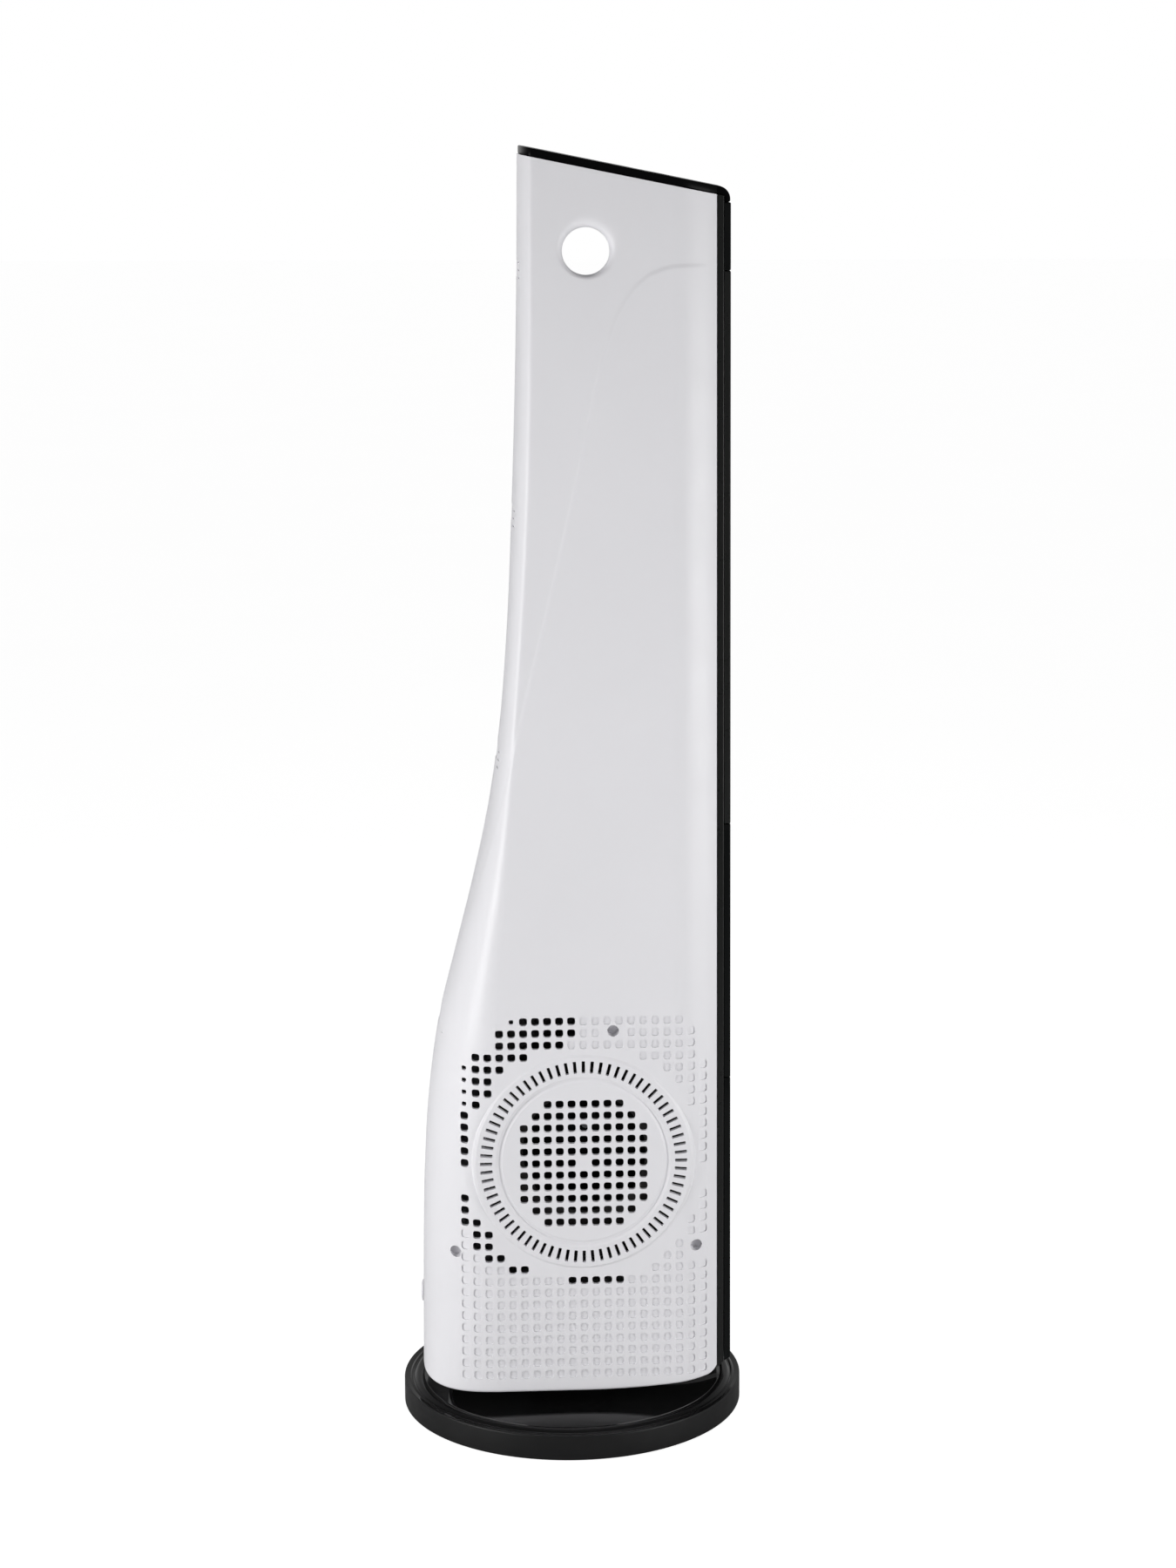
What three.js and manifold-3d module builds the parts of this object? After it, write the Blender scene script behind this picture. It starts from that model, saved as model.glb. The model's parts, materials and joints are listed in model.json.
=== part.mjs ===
// Ceramic tower heater on a round swivelling base, in millimetres, +Z up.
// Origin: centre of the base on the floor. +X is the front, where the warm air leaves.
// The right-hand side of the heater, with its screw pockets, is at -Y.
import * as THREE from 'three';
import { mergeGeometries, mergeVertices } from 'three/addons/utils/BufferGeometryUtils.js';
import { ParametricGeometry } from 'three/addons/geometries/ParametricGeometry.js';
import Module from 'manifold-3d';

const wasm = await Module();
wasm.setup();

// ---------------------------------------------------------------- clearances
const seatGap = 0.3;       // between a piece and what carries it
const runGap = 0.3;        // round a piece that turns or slides
const screwGap = 0.3;      // round a screw in its hole
const cutPast = 4;         // how far a cutting solid runs past the face that it cuts
const joinDepth = 0.5;     // how far two solids run into each other where they are joined
const highCut = 60;        // cutting rods in the base and swivel run up to this height
const farOut = 150;        // reach of a solid that cuts everything beyond a plane
const roundSteps = 28;     // sides of a large circle
const smallSteps = 10;     // sides of a small circle
const buttonSteps = 16;
const baseSteps = 40;      // sides of the base
const ribSteps = 20;       // sides of the rib round the intake

// ---------------------------------------------------------------- base
const baseRadius = 95.5;
const baseHeight = 15.4;       // top of the raised ring
const baseSkirtGap = 0.8;      // skirt stands this far off the floor
const baseWall = 2.2;
const baseShoulderHeight = 13.4;
const rimOuterInset = 5.5;     // raised ring on the base, in from the base's edge
const rimInnerInset = 11.5;
const baseRimOuter = baseRadius - rimOuterInset;
const baseRimInner = baseRadius - rimInnerInset;
const basePlateTop = 14.2;     // flat top inside the raised ring
const postRadius = 17;         // fixed post that the tower turns on
const postBore = 12;           // wires rise through the post
const postTop = 36;
const steelPlateThickness = 1.5;
const steelPlateInset = 4.5;
const steelPlateRadius = baseRadius - steelPlateInset;
const footRadius = 6;
const footHeight = 2.3;
const footInset = 15.5;
const footCircle = baseRadius - footInset;
const footCount = 5;
const baseScrewInset = 35.5;
const baseScrewCircle = baseRadius - baseScrewInset;
const baseScrewCount = 3;
const baseScrewRadius = 1.5;
const baseScrewHead = 3;
const baseScrewHeadHeight = 1.2;
const baseBossRadius = 4;
const tipPlungerInset = 33.5;
const tipPlungerX = tipPlungerInset - baseRadius;
const tipPlungerRadius = 3;
const tipCollarRadius = 4.5;
const tipCollarHeight = 0.8;
const tipSwitchLength = 20;
const tipSwitchWidth = 12;
const footChamfer = 0.6;

// ---------------------------------------------------------------- swivel
const bushThickness = 2.4;
const neckWall = 4;
const neckFlangeRadius = 32;
const neckFlangeThickness = 2.5;
const neckScrewCircle = 28;
const neckScrewCount = 3;
const neckScrewRadius = 1.2;
const neckScrewHead = 2.4;
const neckScrewHeadHeight = 1.4;
const gearTeeth = 40;
const pinionTeeth = 10;
const toothModule = 1.25;
const toothAddendum = 0.9;     // in modules
const toothDedendum = 1.25;
const gearTipShare = 0.24;     // tooth widths, as shares of the tooth pitch
const gearRootShare = 0.62;
const pinionTipShare = 0.2;
const pinionRootShare = 0.58;
const gearHeight = 5;
const gearToothedShare = 0.4;  // share of the rim that the swinging pinion reaches
const gearShaftPlay = 0.2;     // added to the centre distance
const gearScrewCircle = 14.5;
const gearScrewCount = 2;
const gearScrewRadius = 1.1;
const gearScrewHead = 2;
const gearScrewHeadHeight = 1.2;
const gearScrewDepth = 8;
const swingMotorRadius = 24;
const swingMotorHeight = 14;
const swingMotorBase = 48;     // height of the motor's mounting face
const swingEarThickness = 1.5;
const swingPostCircle = 29;
const swingPostRadius = 3.5;
const swingShaftRadius = 2.5;

// ---------------------------------------------------------------- tower outline
const shellWall = 2.4;
const seamGap = 0.3;           // between the right and left shells
const shellBottom = 26;
const shellBottomRound = 1.6;  // how far the lower edge is drawn in
const shellEdgeHeight = 4;     // height of that rounded edge
const frontX = 81.5;           // front edge of the shells
const widestX = -40;           // the flat sides run forward from here
const lowHalfWidth = 63;       // half width at widestX, at the shells' lower edge
const highHalfWidth = 55;      // and at the top
const sideLean = 0.06;         // how fast the flat sides close in towards the front
const shoulderX = 58;          // where they start to round in to the front edge
const shoulderDrop = 9.7;      // how far that rounding draws them in
const rearTopX = -26.3;
const rearWaistX = -30.9;
const rearBottomX = -83.9;
const rearRoundPower = 2.25;   // power of the rear's rounded plan
const rearFlat = 8;            // half width of the flat strip along the rear seam
const capRearTopZ = 708;       // top of the whole heater, at the cap's rear edge
const loftOverTop = 12;        // the tower is lofted past its top, then cut off under the cap
const rearTopZ = capRearTopZ + loftOverTop;
const waistZ = 508;
const hollowZ = 376;           // where the rear starts to swing out
const hollowX = -40.4;
const swellZ = 307;
const swellX = -53;
const bellyZ = 226;
const bellyX = -73;
const hipZ = 140;
const hipX = -82.4;
const cornerTopX = -16.3;      // where the flat of the side ends and the rear rounding starts
const cornerWaistX = -19;
const cornerHollowX = -28;
const cornerSwellX = -33;
const cornerBellyX = -40;

// ---------------------------------------------------------------- carrying hole
const holeX = 10.3;
const holeDrop = 58;           // below the top of the heater
const holeZ = capRearTopZ - holeDrop;
const holeRadius = 13.2;       // at the seam
const holeMouthRadius = 15.2;  // at the foot of the flare
const holeFlareRadius = 17.6;
const holeFlareDepth = 3;
const holeTubeWall = 1.9;

// ---------------------------------------------------------------- air intake pattern
const intakeX = 8.4;
const intakeZ = 158;
const slotCount = 72;
const slotInner = 50;
const slotOuter = 56.7;
const slotWidth = 1.8;
const gridPitch = 6.53;
const gridHole = 4.4;
const gridReach = 5;           // columns and rows each side of the centre, on the intake side
const motorGridReach = 3;      // and on the motor side, where only cooling air enters
const intakeRibInner = 59.8;
const intakeRibWall = 2;
// Open squares outside the ring: [row, first column, last column], counted from the ring's centre.
const outerOpenRows = [
  [12, -6, -1], [11, -7, -1], [10, -7, -2], [9, -9, -5], [8, -9, -7], [7, -10, -8],
  [6, -10, -8], [5, -10, -9], [4, -10, -10], [3, -10, -10], [2, -10, -10], [1, -10, -10],
  [0, -10, -10], [-3, -10, -10], [-4, -10, -10], [-5, -10, -9], [-6, -9, -8],
  [-7, -9, -8], [-8, -8, -7], [-9, -6, -5], [-10, -1, 3],
];

// ---------------------------------------------------------------- shell screws
const shellScrewSpots = [[24.7, 231.4], [-62.3, 105.9], [70, 110]];
const pocketRadius = 3.2;
const pocketFloorY = 14;       // distance of the pocket's floor from the seam
const shellBossRadius = 5.2;
const shellScrewRadius = 1.4;
const shellScrewHeadHeight = 2.2;
const shellScrewReach = 8;     // length of screw in the left shell

// ---------------------------------------------------------------- cap and controls
const capSlopeDegrees = 11.5;
const capRearX = -25.4;
const capThickness = 4.5;
const capInset = 0.8;
const capFrontX = 88.7;
const capLipDrop = 30.4;
const capLipBottomZ = capRearTopZ - capLipDrop;
const capFrontRadius = 7;
const buttonRadius = 5.5;
const powerButtonRadius = 8;
const buttonTravel = 0.8;
const buttonPressGap = 0.1;    // left under a pressed button
const buttonFlangeExtra = 1.6;
const buttonFlangeThickness = 1.2;
const buttonSink = 0.1;        // button tops lie this far under the cap's top
const buttonRowAlong = 78;     // from the cap's rear edge down the slope
const buttonPitch = 17;
const powerButtonAlong = 54;
const controlStandoffRadius = 2.6;
const boardThickness = 1.6;
const tactHeight = 1.6;
const tactSize = 6;
const controlBoardAlong = 64;
const controlBoardLength = 54;
const controlBoardWidth = 84;
const controlStandoffInset = 4;

// ---------------------------------------------------------------- front
const frameThickness = 3.5;
const frameBottomZ = 29;
const windowBottomZ = 349;
const windowTopDrop = 75;
const windowTopZ = capRearTopZ - windowTopDrop;
const windowHalfWidth = 31;
const panelThickness = 3.4;
const panelInset = 0.4;        // front panels stand in from the frame's edge by this much
const displayBottomDrop = 66.7;
const displayBottomZ = capRearTopZ - displayBottomDrop;
const grilleBottomZ = 341.3;
const lowerPanelBottomZ = 199.3;
const slatCount = 24;
const slatHeight = 3.6;

// ---------------------------------------------------------------- blower
const blowerNearY = -46;       // intake side of the blower
const blowerFarY = 30;
const blowerWall = 2;
const inletPlate = 2;
const inletRadius = 34;
const scrollStart = 47;        // scroll radius at the tongue
const scrollEnd = 63;          // and at the outlet
const scrollDegrees = 292;     // turn from the outlet round to the tongue
const scrollSteps = 30;
const tongueZ = 207;
const outletInnerX = 33;
const outletTopZ = 235;
const wheelRadius = 42;
const wheelInner = 34.5;
const wheelNearY = -42;
const wheelFarY = 20;
const wheelRing = 2;
const bladeCount = 22;
const bladeThickness = 1.2;
const bladeLean = 14;          // degrees that a blade leans forward over its width
const hubRadius = 8;
const hubLength = 14;
const shaftRadius = 3;
const shaftHoleGap = 2;        // round the shaft in the blower's back wall
const shaftFitGap = 0.15;      // round the shaft in the wheel's hub
const motorRadius = 24;
const motorEndY = 53;
const motorEndWall = 1.5;      // behind the end of the shaft
const motorShoulder = 6;       // how far the motor's back end is drawn in
const motorShoulderLength = 4;
const clampWall = 3.5;
const clampLength = 9;

// ---------------------------------------------------------------- heater
const ductWall = 1.8;
const ductFrontX = 71.4;
const ductMouthX = 55.7;       // open front of the duct, behind the heating elements
const ductRearLowX = 16;
const ductRearHighX = 38;
const ductBendZ = 360;
const ductTopDrop = 76;
const ductTopZ = capRearTopZ - ductTopDrop;
const heaterFrameBackX = 56;
const heaterFrameHalfWidth = 34.5;
const ductSideStep = 0.5;      // the duct stands this far proud of the heater frame's sides
const ductHalfWidth = heaterFrameHalfWidth + ductSideStep;
const heaterFrameWall = 3.5;
const heaterFrameBottomZ = 341;
const heaterFrameTopDrop = 68;
const heaterFrameTopZ = capRearTopZ - heaterFrameTopDrop;
const elementBackX = 60;
const elementDepth = 14;
const elementGap = 0.6;
const finRows = 8;
const finColumns = 2;
const finThickness = 1.6;
const cutoutLength = 24;
const cutoutDepth = 12;
const cutoutHeight = 5;
const cutoutPlateThickness = 1;
const cutoutCanRadius = 5.5;
const fuseRadius = 2.4;
const fuseLength = 22;
const fuseX = 76.6;
const cutoutRearX = 62;
const mainBoardRearX = -12;
const mainBoardFrontX = 14;
const mainBoardBottomZ = 380;
const mainBoardTopZ = 560;
const mainBoardY = 44;         // inner face of the board
const standoffRadius = 3;
const standoffInset = 5;
// Parts on the main board: [height above its lower edge, width, depth, height].
const boardParts = [
  [16, 22, 12, 19], [44, 22, 12, 19], [78, 18, 14, 26], [112, 14, 8, 14], [136, 20, 10, 20],
];

// ---------------------------------------------------------------- cord gland
const glandZ = 62;
const glandRadius = 4;
const glandFlange = 6;
const glandFlangeThickness = 1.2;

// ---------------------------------------------------------------- colours
const finishes = {
  shell: { color: 0xe4e4e8, roughness: 0.42, metalness: 0 },
  glossBlack: { color: 0x101112, roughness: 0.12, metalness: 0 },
  satinBlack: { color: 0x26272a, roughness: 0.45, metalness: 0 },
  innerBlack: { color: 0x1b1c1e, roughness: 0.6, metalness: 0 },
  rubber: { color: 0x161616, roughness: 0.85, metalness: 0 },
  steel: { color: 0xa8abae, roughness: 0.35, metalness: 1 },
  acetal: { color: 0xd9d6cc, roughness: 0.5, metalness: 0 },
  ceramic: { color: 0xc9c2b4, roughness: 0.8, metalness: 0 },
  board: { color: 0x2e6b3c, roughness: 0.5, metalness: 0 },
  heatPlastic: { color: 0x3a332c, roughness: 0.6, metalness: 0 },
  button: { color: 0x2a2c2f, roughness: 0.3, metalness: 0 },
};

// ---------------------------------------------------------------- solids
// Merges shared points, drops collapsed triangles and turns the faces outwards.
function closed(geometry) {
  const bare = geometry.clone();
  bare.deleteAttribute('normal');
  bare.deleteAttribute('uv');
  const merged = mergeVertices(bare, 1e-4);
  const position = merged.attributes.position;
  const corners = merged.index.array;
  const kept = [];
  let volume = 0;
  const a = new THREE.Vector3();
  const b = new THREE.Vector3();
  const c = new THREE.Vector3();
  for (let i = 0; i < corners.length; i += 3) {
    const [p, q, r] = [corners[i], corners[i + 1], corners[i + 2]];
    if (p === q || q === r || r === p) continue;
    kept.push(p, q, r);
    a.fromBufferAttribute(position, p);
    b.fromBufferAttribute(position, q);
    c.fromBufferAttribute(position, r);
    volume += a.dot(b.cross(c));
  }
  if (volume < 0) kept.reverse();
  merged.setIndex(kept);
  return merged;
}

function asSolid(geometry) {
  const ready = closed(geometry);
  const vertProperties = new Float32Array(ready.attributes.position.array);
  const triVerts = new Uint32Array(ready.index.array);
  return new wasm.Manifold(new wasm.Mesh({ numProp: 3, vertProperties, triVerts }));
}

function asGeometry(solid) {
  const { vertProperties, triVerts } = solid.getMesh();
  const geometry = new THREE.BufferGeometry();
  geometry.setAttribute('position', new THREE.BufferAttribute(vertProperties, 3));
  geometry.setIndex(new THREE.BufferAttribute(triVerts, 1));
  return geometry;
}

function join(...pieces) {
  return asGeometry(pieces.map(asSolid).reduce((whole, piece) => whole.add(piece)));
}

function cut(piece, ...tools) {
  return asGeometry(tools.map(asSolid).reduce((rest, tool) => rest.subtract(tool), asSolid(piece)));
}

function common(piece, other) {
  return asGeometry(asSolid(piece).intersect(asSolid(other)));
}

// Disjoint tools of one kind, as a single cutting geometry.
function together(pieces) {
  return mergeGeometries(pieces.map((piece) => closed(piece)));
}

// ---------------------------------------------------------------- simple shapes
function block(lowX, highX, lowY, highY, lowZ, highZ) {
  const shape = new THREE.BoxGeometry(highX - lowX, highY - lowY, highZ - lowZ);
  return shape.translate((lowX + highX) / 2, (lowY + highY) / 2, (lowZ + highZ) / 2);
}

// Turned piece about Z: corners are [radius, height], closed along the axis or on itself.
function turned(corners, steps = roundSteps) {
  const points = corners.map(([radius, height]) => new THREE.Vector2(radius, height));
  points.push(points[0].clone());
  return new THREE.LatheGeometry(points, steps).rotateX(Math.PI / 2);
}

function rod(radius, lowZ, highZ, steps = smallSteps) {
  return turned([[0, lowZ], [radius, lowZ], [radius, highZ], [0, highZ]], steps);
}

function tube(inner, outer, lowZ, highZ, steps = roundSteps) {
  return turned([[inner, lowZ], [outer, lowZ], [outer, highZ], [inner, highZ]], steps);
}

// Lays a piece built about Z along Y, so that its height runs towards +Y, at a place in X and Z.
function alongY(piece, x, z) {
  return piece.rotateX(-Math.PI / 2).translate(x, 0, z);
}

// Lays a piece built about Z along X, so that its height runs towards +X.
function alongX(piece, y, z) {
  return piece.rotateY(Math.PI / 2).translate(0, y, z);
}

// Outline given in X and Z, extruded along Y between two planes.
function sideExtrusion(outline, lowY, highY) {
  const shape = new THREE.Shape(outline.map(([x, z]) => new THREE.Vector2(x, z)));
  const solid = new THREE.ExtrudeGeometry(shape, { depth: highY - lowY, bevelEnabled: false });
  return solid.rotateX(Math.PI / 2).translate(0, highY, 0);
}

function planExtrusion(outline, lowZ, highZ) {
  const shape = new THREE.Shape(outline.map(([x, y]) => new THREE.Vector2(x, y)));
  const solid = new THREE.ExtrudeGeometry(shape, { depth: highZ - lowZ, bevelEnabled: false });
  return solid.translate(0, 0, lowZ);
}

function onCircle(count, radius, startDegrees) {
  return Array.from({ length: count }, (_, i) => {
    const angle = THREE.MathUtils.degToRad(startDegrees + (360 * i) / count);
    return [radius * Math.cos(angle), radius * Math.sin(angle)];
  });
}

// ---------------------------------------------------------------- tower outline
// Depth at a height, read from a smooth curve through [height, depth] knots.
function depthCurve(knots) {
  const curve = new THREE.SplineCurve(knots.map(([z, x]) => new THREE.Vector2(z, x)));
  const samples = curve.getPoints(knots.length * 24);
  return (z) => {
    const next = samples.findIndex((sample) => sample.x >= z);
    if (next <= 0) return samples[next === 0 ? 0 : samples.length - 1].y;
    const [low, high] = [samples[next - 1], samples[next]];
    return THREE.MathUtils.lerp(low.y, high.y, (z - low.x) / (high.x - low.x));
  };
}

const rearX = depthCurve([
  [0, rearBottomX], [shellBottom + shellEdgeHeight * 8, rearBottomX], [hipZ, hipX], [bellyZ, bellyX],
  [swellZ, swellX], [hollowZ, hollowX], [waistZ, rearWaistX], [rearTopZ, rearTopX],
]);

const cornerX = depthCurve([
  [0, widestX], [hipZ, widestX], [bellyZ, cornerBellyX], [swellZ, cornerSwellX],
  [hollowZ, cornerHollowX], [waistZ, cornerWaistX], [rearTopZ, cornerTopX],
]);

// Half width of the side wall at a depth and height: flat, then rounded in to the front edge.
function halfWidth(x, z) {
  const rise = (z - shellBottom) / (rearTopZ - shellBottom);
  const flat = THREE.MathUtils.lerp(lowHalfWidth, highHalfWidth, rise) - sideLean * (x - widestX);
  const share = THREE.MathUtils.clamp((x - shoulderX) / (frontX - shoulderX), 0, 1);
  return flat - shoulderDrop * share ** 2;
}

const shoulderSteps = 4;
const rearSteps = 6;

// Plan outline at a height, from the front on the -Y side round the rear to the +Y side.
// inset draws it in, and frontReach carries the open front past the shell's edge.
function planOutline(z, inset, frontReach) {
  const half = frontReach > 0 ? [[frontX + frontReach, halfWidth(frontX, z) - inset]] : [];
  const start = cornerX(z);
  for (let i = 0; i <= shoulderSteps; i += 1) {
    const x = THREE.MathUtils.lerp(frontX, shoulderX, i / shoulderSteps);
    half.push([x, halfWidth(x, z) - inset]);
  }
  half.push([start, halfWidth(start, z) - inset]);
  const rearDepth = start - rearX(z) - inset;
  const rearWidth = halfWidth(start, z) - inset;
  for (let i = 1; i < rearSteps; i += 1) {
    const angle = (Math.PI / 2) * (i / rearSteps);
    const x = start - rearDepth * Math.sin(angle) ** (2 / rearRoundPower);
    half.push([x, rearWidth * Math.cos(angle) ** (2 / rearRoundPower)]);
  }
  const rear = [-rearFlat, rearFlat].map((y) => [start - rearDepth, y]);
  const near = half.map(([x, y]) => [x, -y]);
  return [...near, ...rear, ...half.slice().reverse()];
}

// Closed solid through a stack of plan outlines: each level is [height, inset].
function loft(levels, frontReach) {
  const rings = levels.map(([z, inset]) => planOutline(z, inset, frontReach).map(([x, y]) => [x, y, z]));
  const middle = (z) => [[(frontX + rearX(z)) / 2, 0, z]];
  const rows = [middle(levels[0][0]), ...rings, middle(levels[levels.length - 1][0])];
  const around = rings[0].length;
  const upwards = rows.length - 1;
  const place = (u, v, target) => {
    const row = rows[Math.round(v * upwards)];
    const spot = row[Math.round(u * around) % row.length];
    target.set(...spot);
  };
  return new ParametricGeometry(place, around, upwards);
}

// Heights that the tower is lofted through: the knots of the rear curve and steps between them.
const levelHeights = [70, hipZ, 185, bellyZ, 266, swellZ, 341, hollowZ, 430, waistZ, 600, rearTopZ];

const outerBody = loft([
  [shellBottom, shellBottomRound],
  [shellBottom + shellEdgeHeight * 0.35, shellBottomRound * 0.3],
  [shellBottom + shellEdgeHeight, 0],
  ...levelHeights.map((z) => [z, 0]),
], 0);

const innerBody = loft([
  [shellBottom - cutPast, shellWall],
  ...levelHeights.map((z) => [z, shellWall]),
], cutPast);

// ---------------------------------------------------------------- cap plane
const capSlope = THREE.MathUtils.degToRad(capSlopeDegrees);

function capTopZ(x) {
  return capRearTopZ - Math.tan(capSlope) * (x - capRearX);
}

const capDrop = capThickness / Math.cos(capSlope);

// Everything above a plane parallel to the cap's top and drop below it.
function aboveCap(drop) {
  const top = rearTopZ + highCut;
  return sideExtrusion([
    [-farOut, capTopZ(-farOut) - drop], [farOut, capTopZ(farOut) - drop], [farOut, top], [-farOut, top],
  ], -farOut, farOut);
}

// ---------------------------------------------------------------- intake holes
const sideReach = lowHalfWidth + cutPast;
const airCutDepth = 20;        // air holes are cut in from the side to this distance from the seam

function squareHole(column, row) {
  const x = intakeX + column * gridPitch;
  const z = intakeZ + row * gridPitch;
  const half = gridHole / 2;
  return block(x - half, x + half, -sideReach, -airCutDepth, z - half, z + half);
}

// Round block of squares without its corners and centre.
function innerGrid(reach) {
  const holes = [];
  for (let row = -reach; row <= reach; row += 1) {
    const trim = Math.max(0, Math.abs(row) - reach + 2);
    for (let column = trim - reach; column <= reach - trim; column += 1) {
      if (row !== 0 || column !== 0) holes.push(squareHole(column, row));
    }
  }
  return holes;
}

function intakeHoles() {
  const holes = innerGrid(gridReach);
  for (let i = 0; i < slotCount; i += 1) {
    const slot = block(slotInner, slotOuter, -sideReach, -airCutDepth, -slotWidth / 2, slotWidth / 2);
    slot.rotateY((2 * Math.PI * i) / slotCount);
    holes.push(slot.translate(intakeX, 0, intakeZ));
  }
  for (const [row, first, last] of outerOpenRows) {
    for (let column = first; column <= last; column += 1) holes.push(squareHole(column, row));
  }
  return together(holes);
}

// ---------------------------------------------------------------- shells
// The right shell, at -Y. The left shell is its mirror image with its own bosses.
function halfShell(bosses, screwCuts, airHoles) {
  const wallBody = cut(outerBody, innerBody);
  const holeTube = alongY(rod(holeMouthRadius + holeTubeWall, -sideReach, 0, roundSteps), holeX, holeZ);
  const rib = alongY(tube(intakeRibInner, intakeRibInner + intakeRibWall, -sideReach, blowerNearY - seatGap,
    ribSteps), intakeX, intakeZ);
  const inside = common(join(holeTube, rib, ...bosses), outerBody);
  const flareY = halfWidth(holeX, holeZ);
  const bore = alongY(turned([
    [0, -sideReach - cutPast],
    [holeFlareRadius, -sideReach - cutPast],
    [holeFlareRadius, -flareY],
    [holeMouthRadius, -flareY + holeFlareDepth],
    [holeRadius, 0],
    [holeRadius, cutPast],
    [0, cutPast],
  ]), holeX, holeZ);
  const glandHole = alongX(rod(glandRadius + seatGap, rearBottomX - cutPast, rearBottomX + 2 * cutPast),
    0, glandZ);
  const otherHalf = block(-farOut, farOut, -seamGap / 2, farOut, 0, rearTopZ + highCut);
  return cut(join(wallBody, inside), bore, glandHole, otherHalf, aboveCap(capDrop + seatGap),
    ...screwCuts, airHoles);
}

function rightShell() {
  const bosses = shellScrewSpots.map(([x, z]) => alongY(rod(shellBossRadius, -sideReach, 0), x, z));
  const pockets = shellScrewSpots.map(([x, z]) => alongY(turned([
    [0, -sideReach - cutPast],
    [pocketRadius, -sideReach - cutPast],
    [pocketRadius, -pocketFloorY],
    [shellScrewRadius + screwGap, -pocketFloorY],
    [shellScrewRadius + screwGap, cutPast],
    [0, cutPast],
  ], smallSteps), x, z));
  return halfShell(bosses, pockets, intakeHoles());
}

function leftShell() {
  const bosses = shellScrewSpots.map(([x, z]) => alongY(rod(shellBossRadius, -sideReach, 0), x, z));
  const pilots = shellScrewSpots.map(([x, z]) => alongY(
    rod(shellScrewRadius + screwGap, -shellScrewReach - seatGap, cutPast), x, z));
  const boardFace = -(mainBoardY + boardThickness + seatGap);
  const standoffs = mainBoardCorners()
    .map(([x, z]) => alongY(rod(standoffRadius, -sideReach, boardFace), x, z));
  const mirrored = halfShell([...bosses, ...standoffs], pilots, together(innerGrid(motorGridReach)));
  return mirrored.scale(1, -1, 1);
}

function shellScrew([x, z]) {
  const headTop = -pocketFloorY - seatGap;
  return alongY(turned([
    [0, headTop - shellScrewHeadHeight],
    [pocketRadius - screwGap, headTop - shellScrewHeadHeight],
    [pocketRadius - screwGap, headTop],
    [shellScrewRadius, headTop],
    [shellScrewRadius, shellScrewReach],
    [0, shellScrewReach],
  ], smallSteps), x, z);
}

function cordGland() {
  const outside = rearBottomX - seatGap;
  const inside = rearBottomX + shellWall + seatGap;
  return alongX(turned([
    [0, outside - glandFlangeThickness],
    [glandFlange, outside - glandFlangeThickness],
    [glandFlange, outside],
    [glandRadius, outside],
    [glandRadius, inside],
    [glandFlange, inside],
    [glandFlange, inside + glandFlangeThickness],
    [0, inside + glandFlangeThickness],
  ], smallSteps), 0, glandZ);
}

// ---------------------------------------------------------------- base pieces
const coverUnderside = basePlateTop - baseWall;
const steelPlateTop = footHeight + seatGap + steelPlateThickness;
const steelPlateBottom = footHeight + seatGap;

function baseCover() {
  const shoulderIn = 2;
  const rimCrown = baseHeight - basePlateTop;
  const dish = turned([
    [baseRadius, baseSkirtGap],
    [baseRadius, baseShoulderHeight],
    [baseRadius - shoulderIn, basePlateTop],
    [baseRimOuter, basePlateTop],
    [baseRimOuter - rimCrown, baseHeight],
    [baseRimInner + rimCrown, baseHeight],
    [baseRimInner, basePlateTop],
    [postRadius, basePlateTop],
    [postRadius, postTop],
    [postBore, postTop],
    [postBore, coverUnderside],
    [baseRadius - baseWall - shoulderIn, coverUnderside],
    [baseRadius - baseWall, baseShoulderHeight - baseWall],
    [baseRadius - baseWall, baseSkirtGap],
  ], baseSteps);
  const bosses = onCircle(baseScrewCount, baseScrewCircle, 90)
    .map(([x, y]) => rod(baseBossRadius, steelPlateTop + seatGap, coverUnderside + joinDepth)
      .translate(x, y, 0));
  const pilots = onCircle(baseScrewCount, baseScrewCircle, 90)
    .map(([x, y]) => rod(baseScrewRadius + screwGap, 0, coverUnderside).translate(x, y, 0));
  const gearPilots = onCircle(gearScrewCount, gearScrewCircle, 0)
    .map(([x, y]) => rod(gearScrewRadius + screwGap, postTop - gearScrewDepth - seatGap, postTop + cutPast)
      .translate(x, y, 0));
  return cut(join(dish, ...bosses), ...pilots, ...gearPilots);
}

function steelPlate() {
  const holes = onCircle(baseScrewCount, baseScrewCircle, 90)
    .map(([x, y]) => rod(baseScrewRadius + screwGap, 0, highCut).translate(x, y, 0));
  const plungerHole = rod(tipPlungerRadius + runGap, 0, highCut).translate(tipPlungerX, 0, 0);
  const disc = tube(postBore, steelPlateRadius, steelPlateBottom, steelPlateTop, baseSteps);
  return cut(disc, ...holes, plungerHole);
}

function foot([x, y]) {
  return turned([
    [0, 0],
    [footRadius - footChamfer, 0],
    [footRadius, footChamfer],
    [footRadius, footHeight],
    [0, footHeight],
  ], smallSteps).translate(x, y, 0);
}

// Screw with its head below: the head's seat is at seatZ, the point at tipZ.
function screwUp(radius, headRadius, headHeight, seatZ, tipZ) {
  return turned([
    [0, seatZ - headHeight],
    [headRadius, seatZ - headHeight],
    [headRadius, seatZ],
    [radius, seatZ],
    [radius, tipZ],
    [0, tipZ],
  ], smallSteps);
}

// Screw with its head above.
function screwDown(radius, headRadius, headHeight, seatZ, tipZ) {
  return turned([
    [0, tipZ],
    [radius, tipZ],
    [radius, seatZ],
    [headRadius, seatZ],
    [headRadius, seatZ + headHeight],
    [0, seatZ + headHeight],
  ], smallSteps);
}

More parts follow.
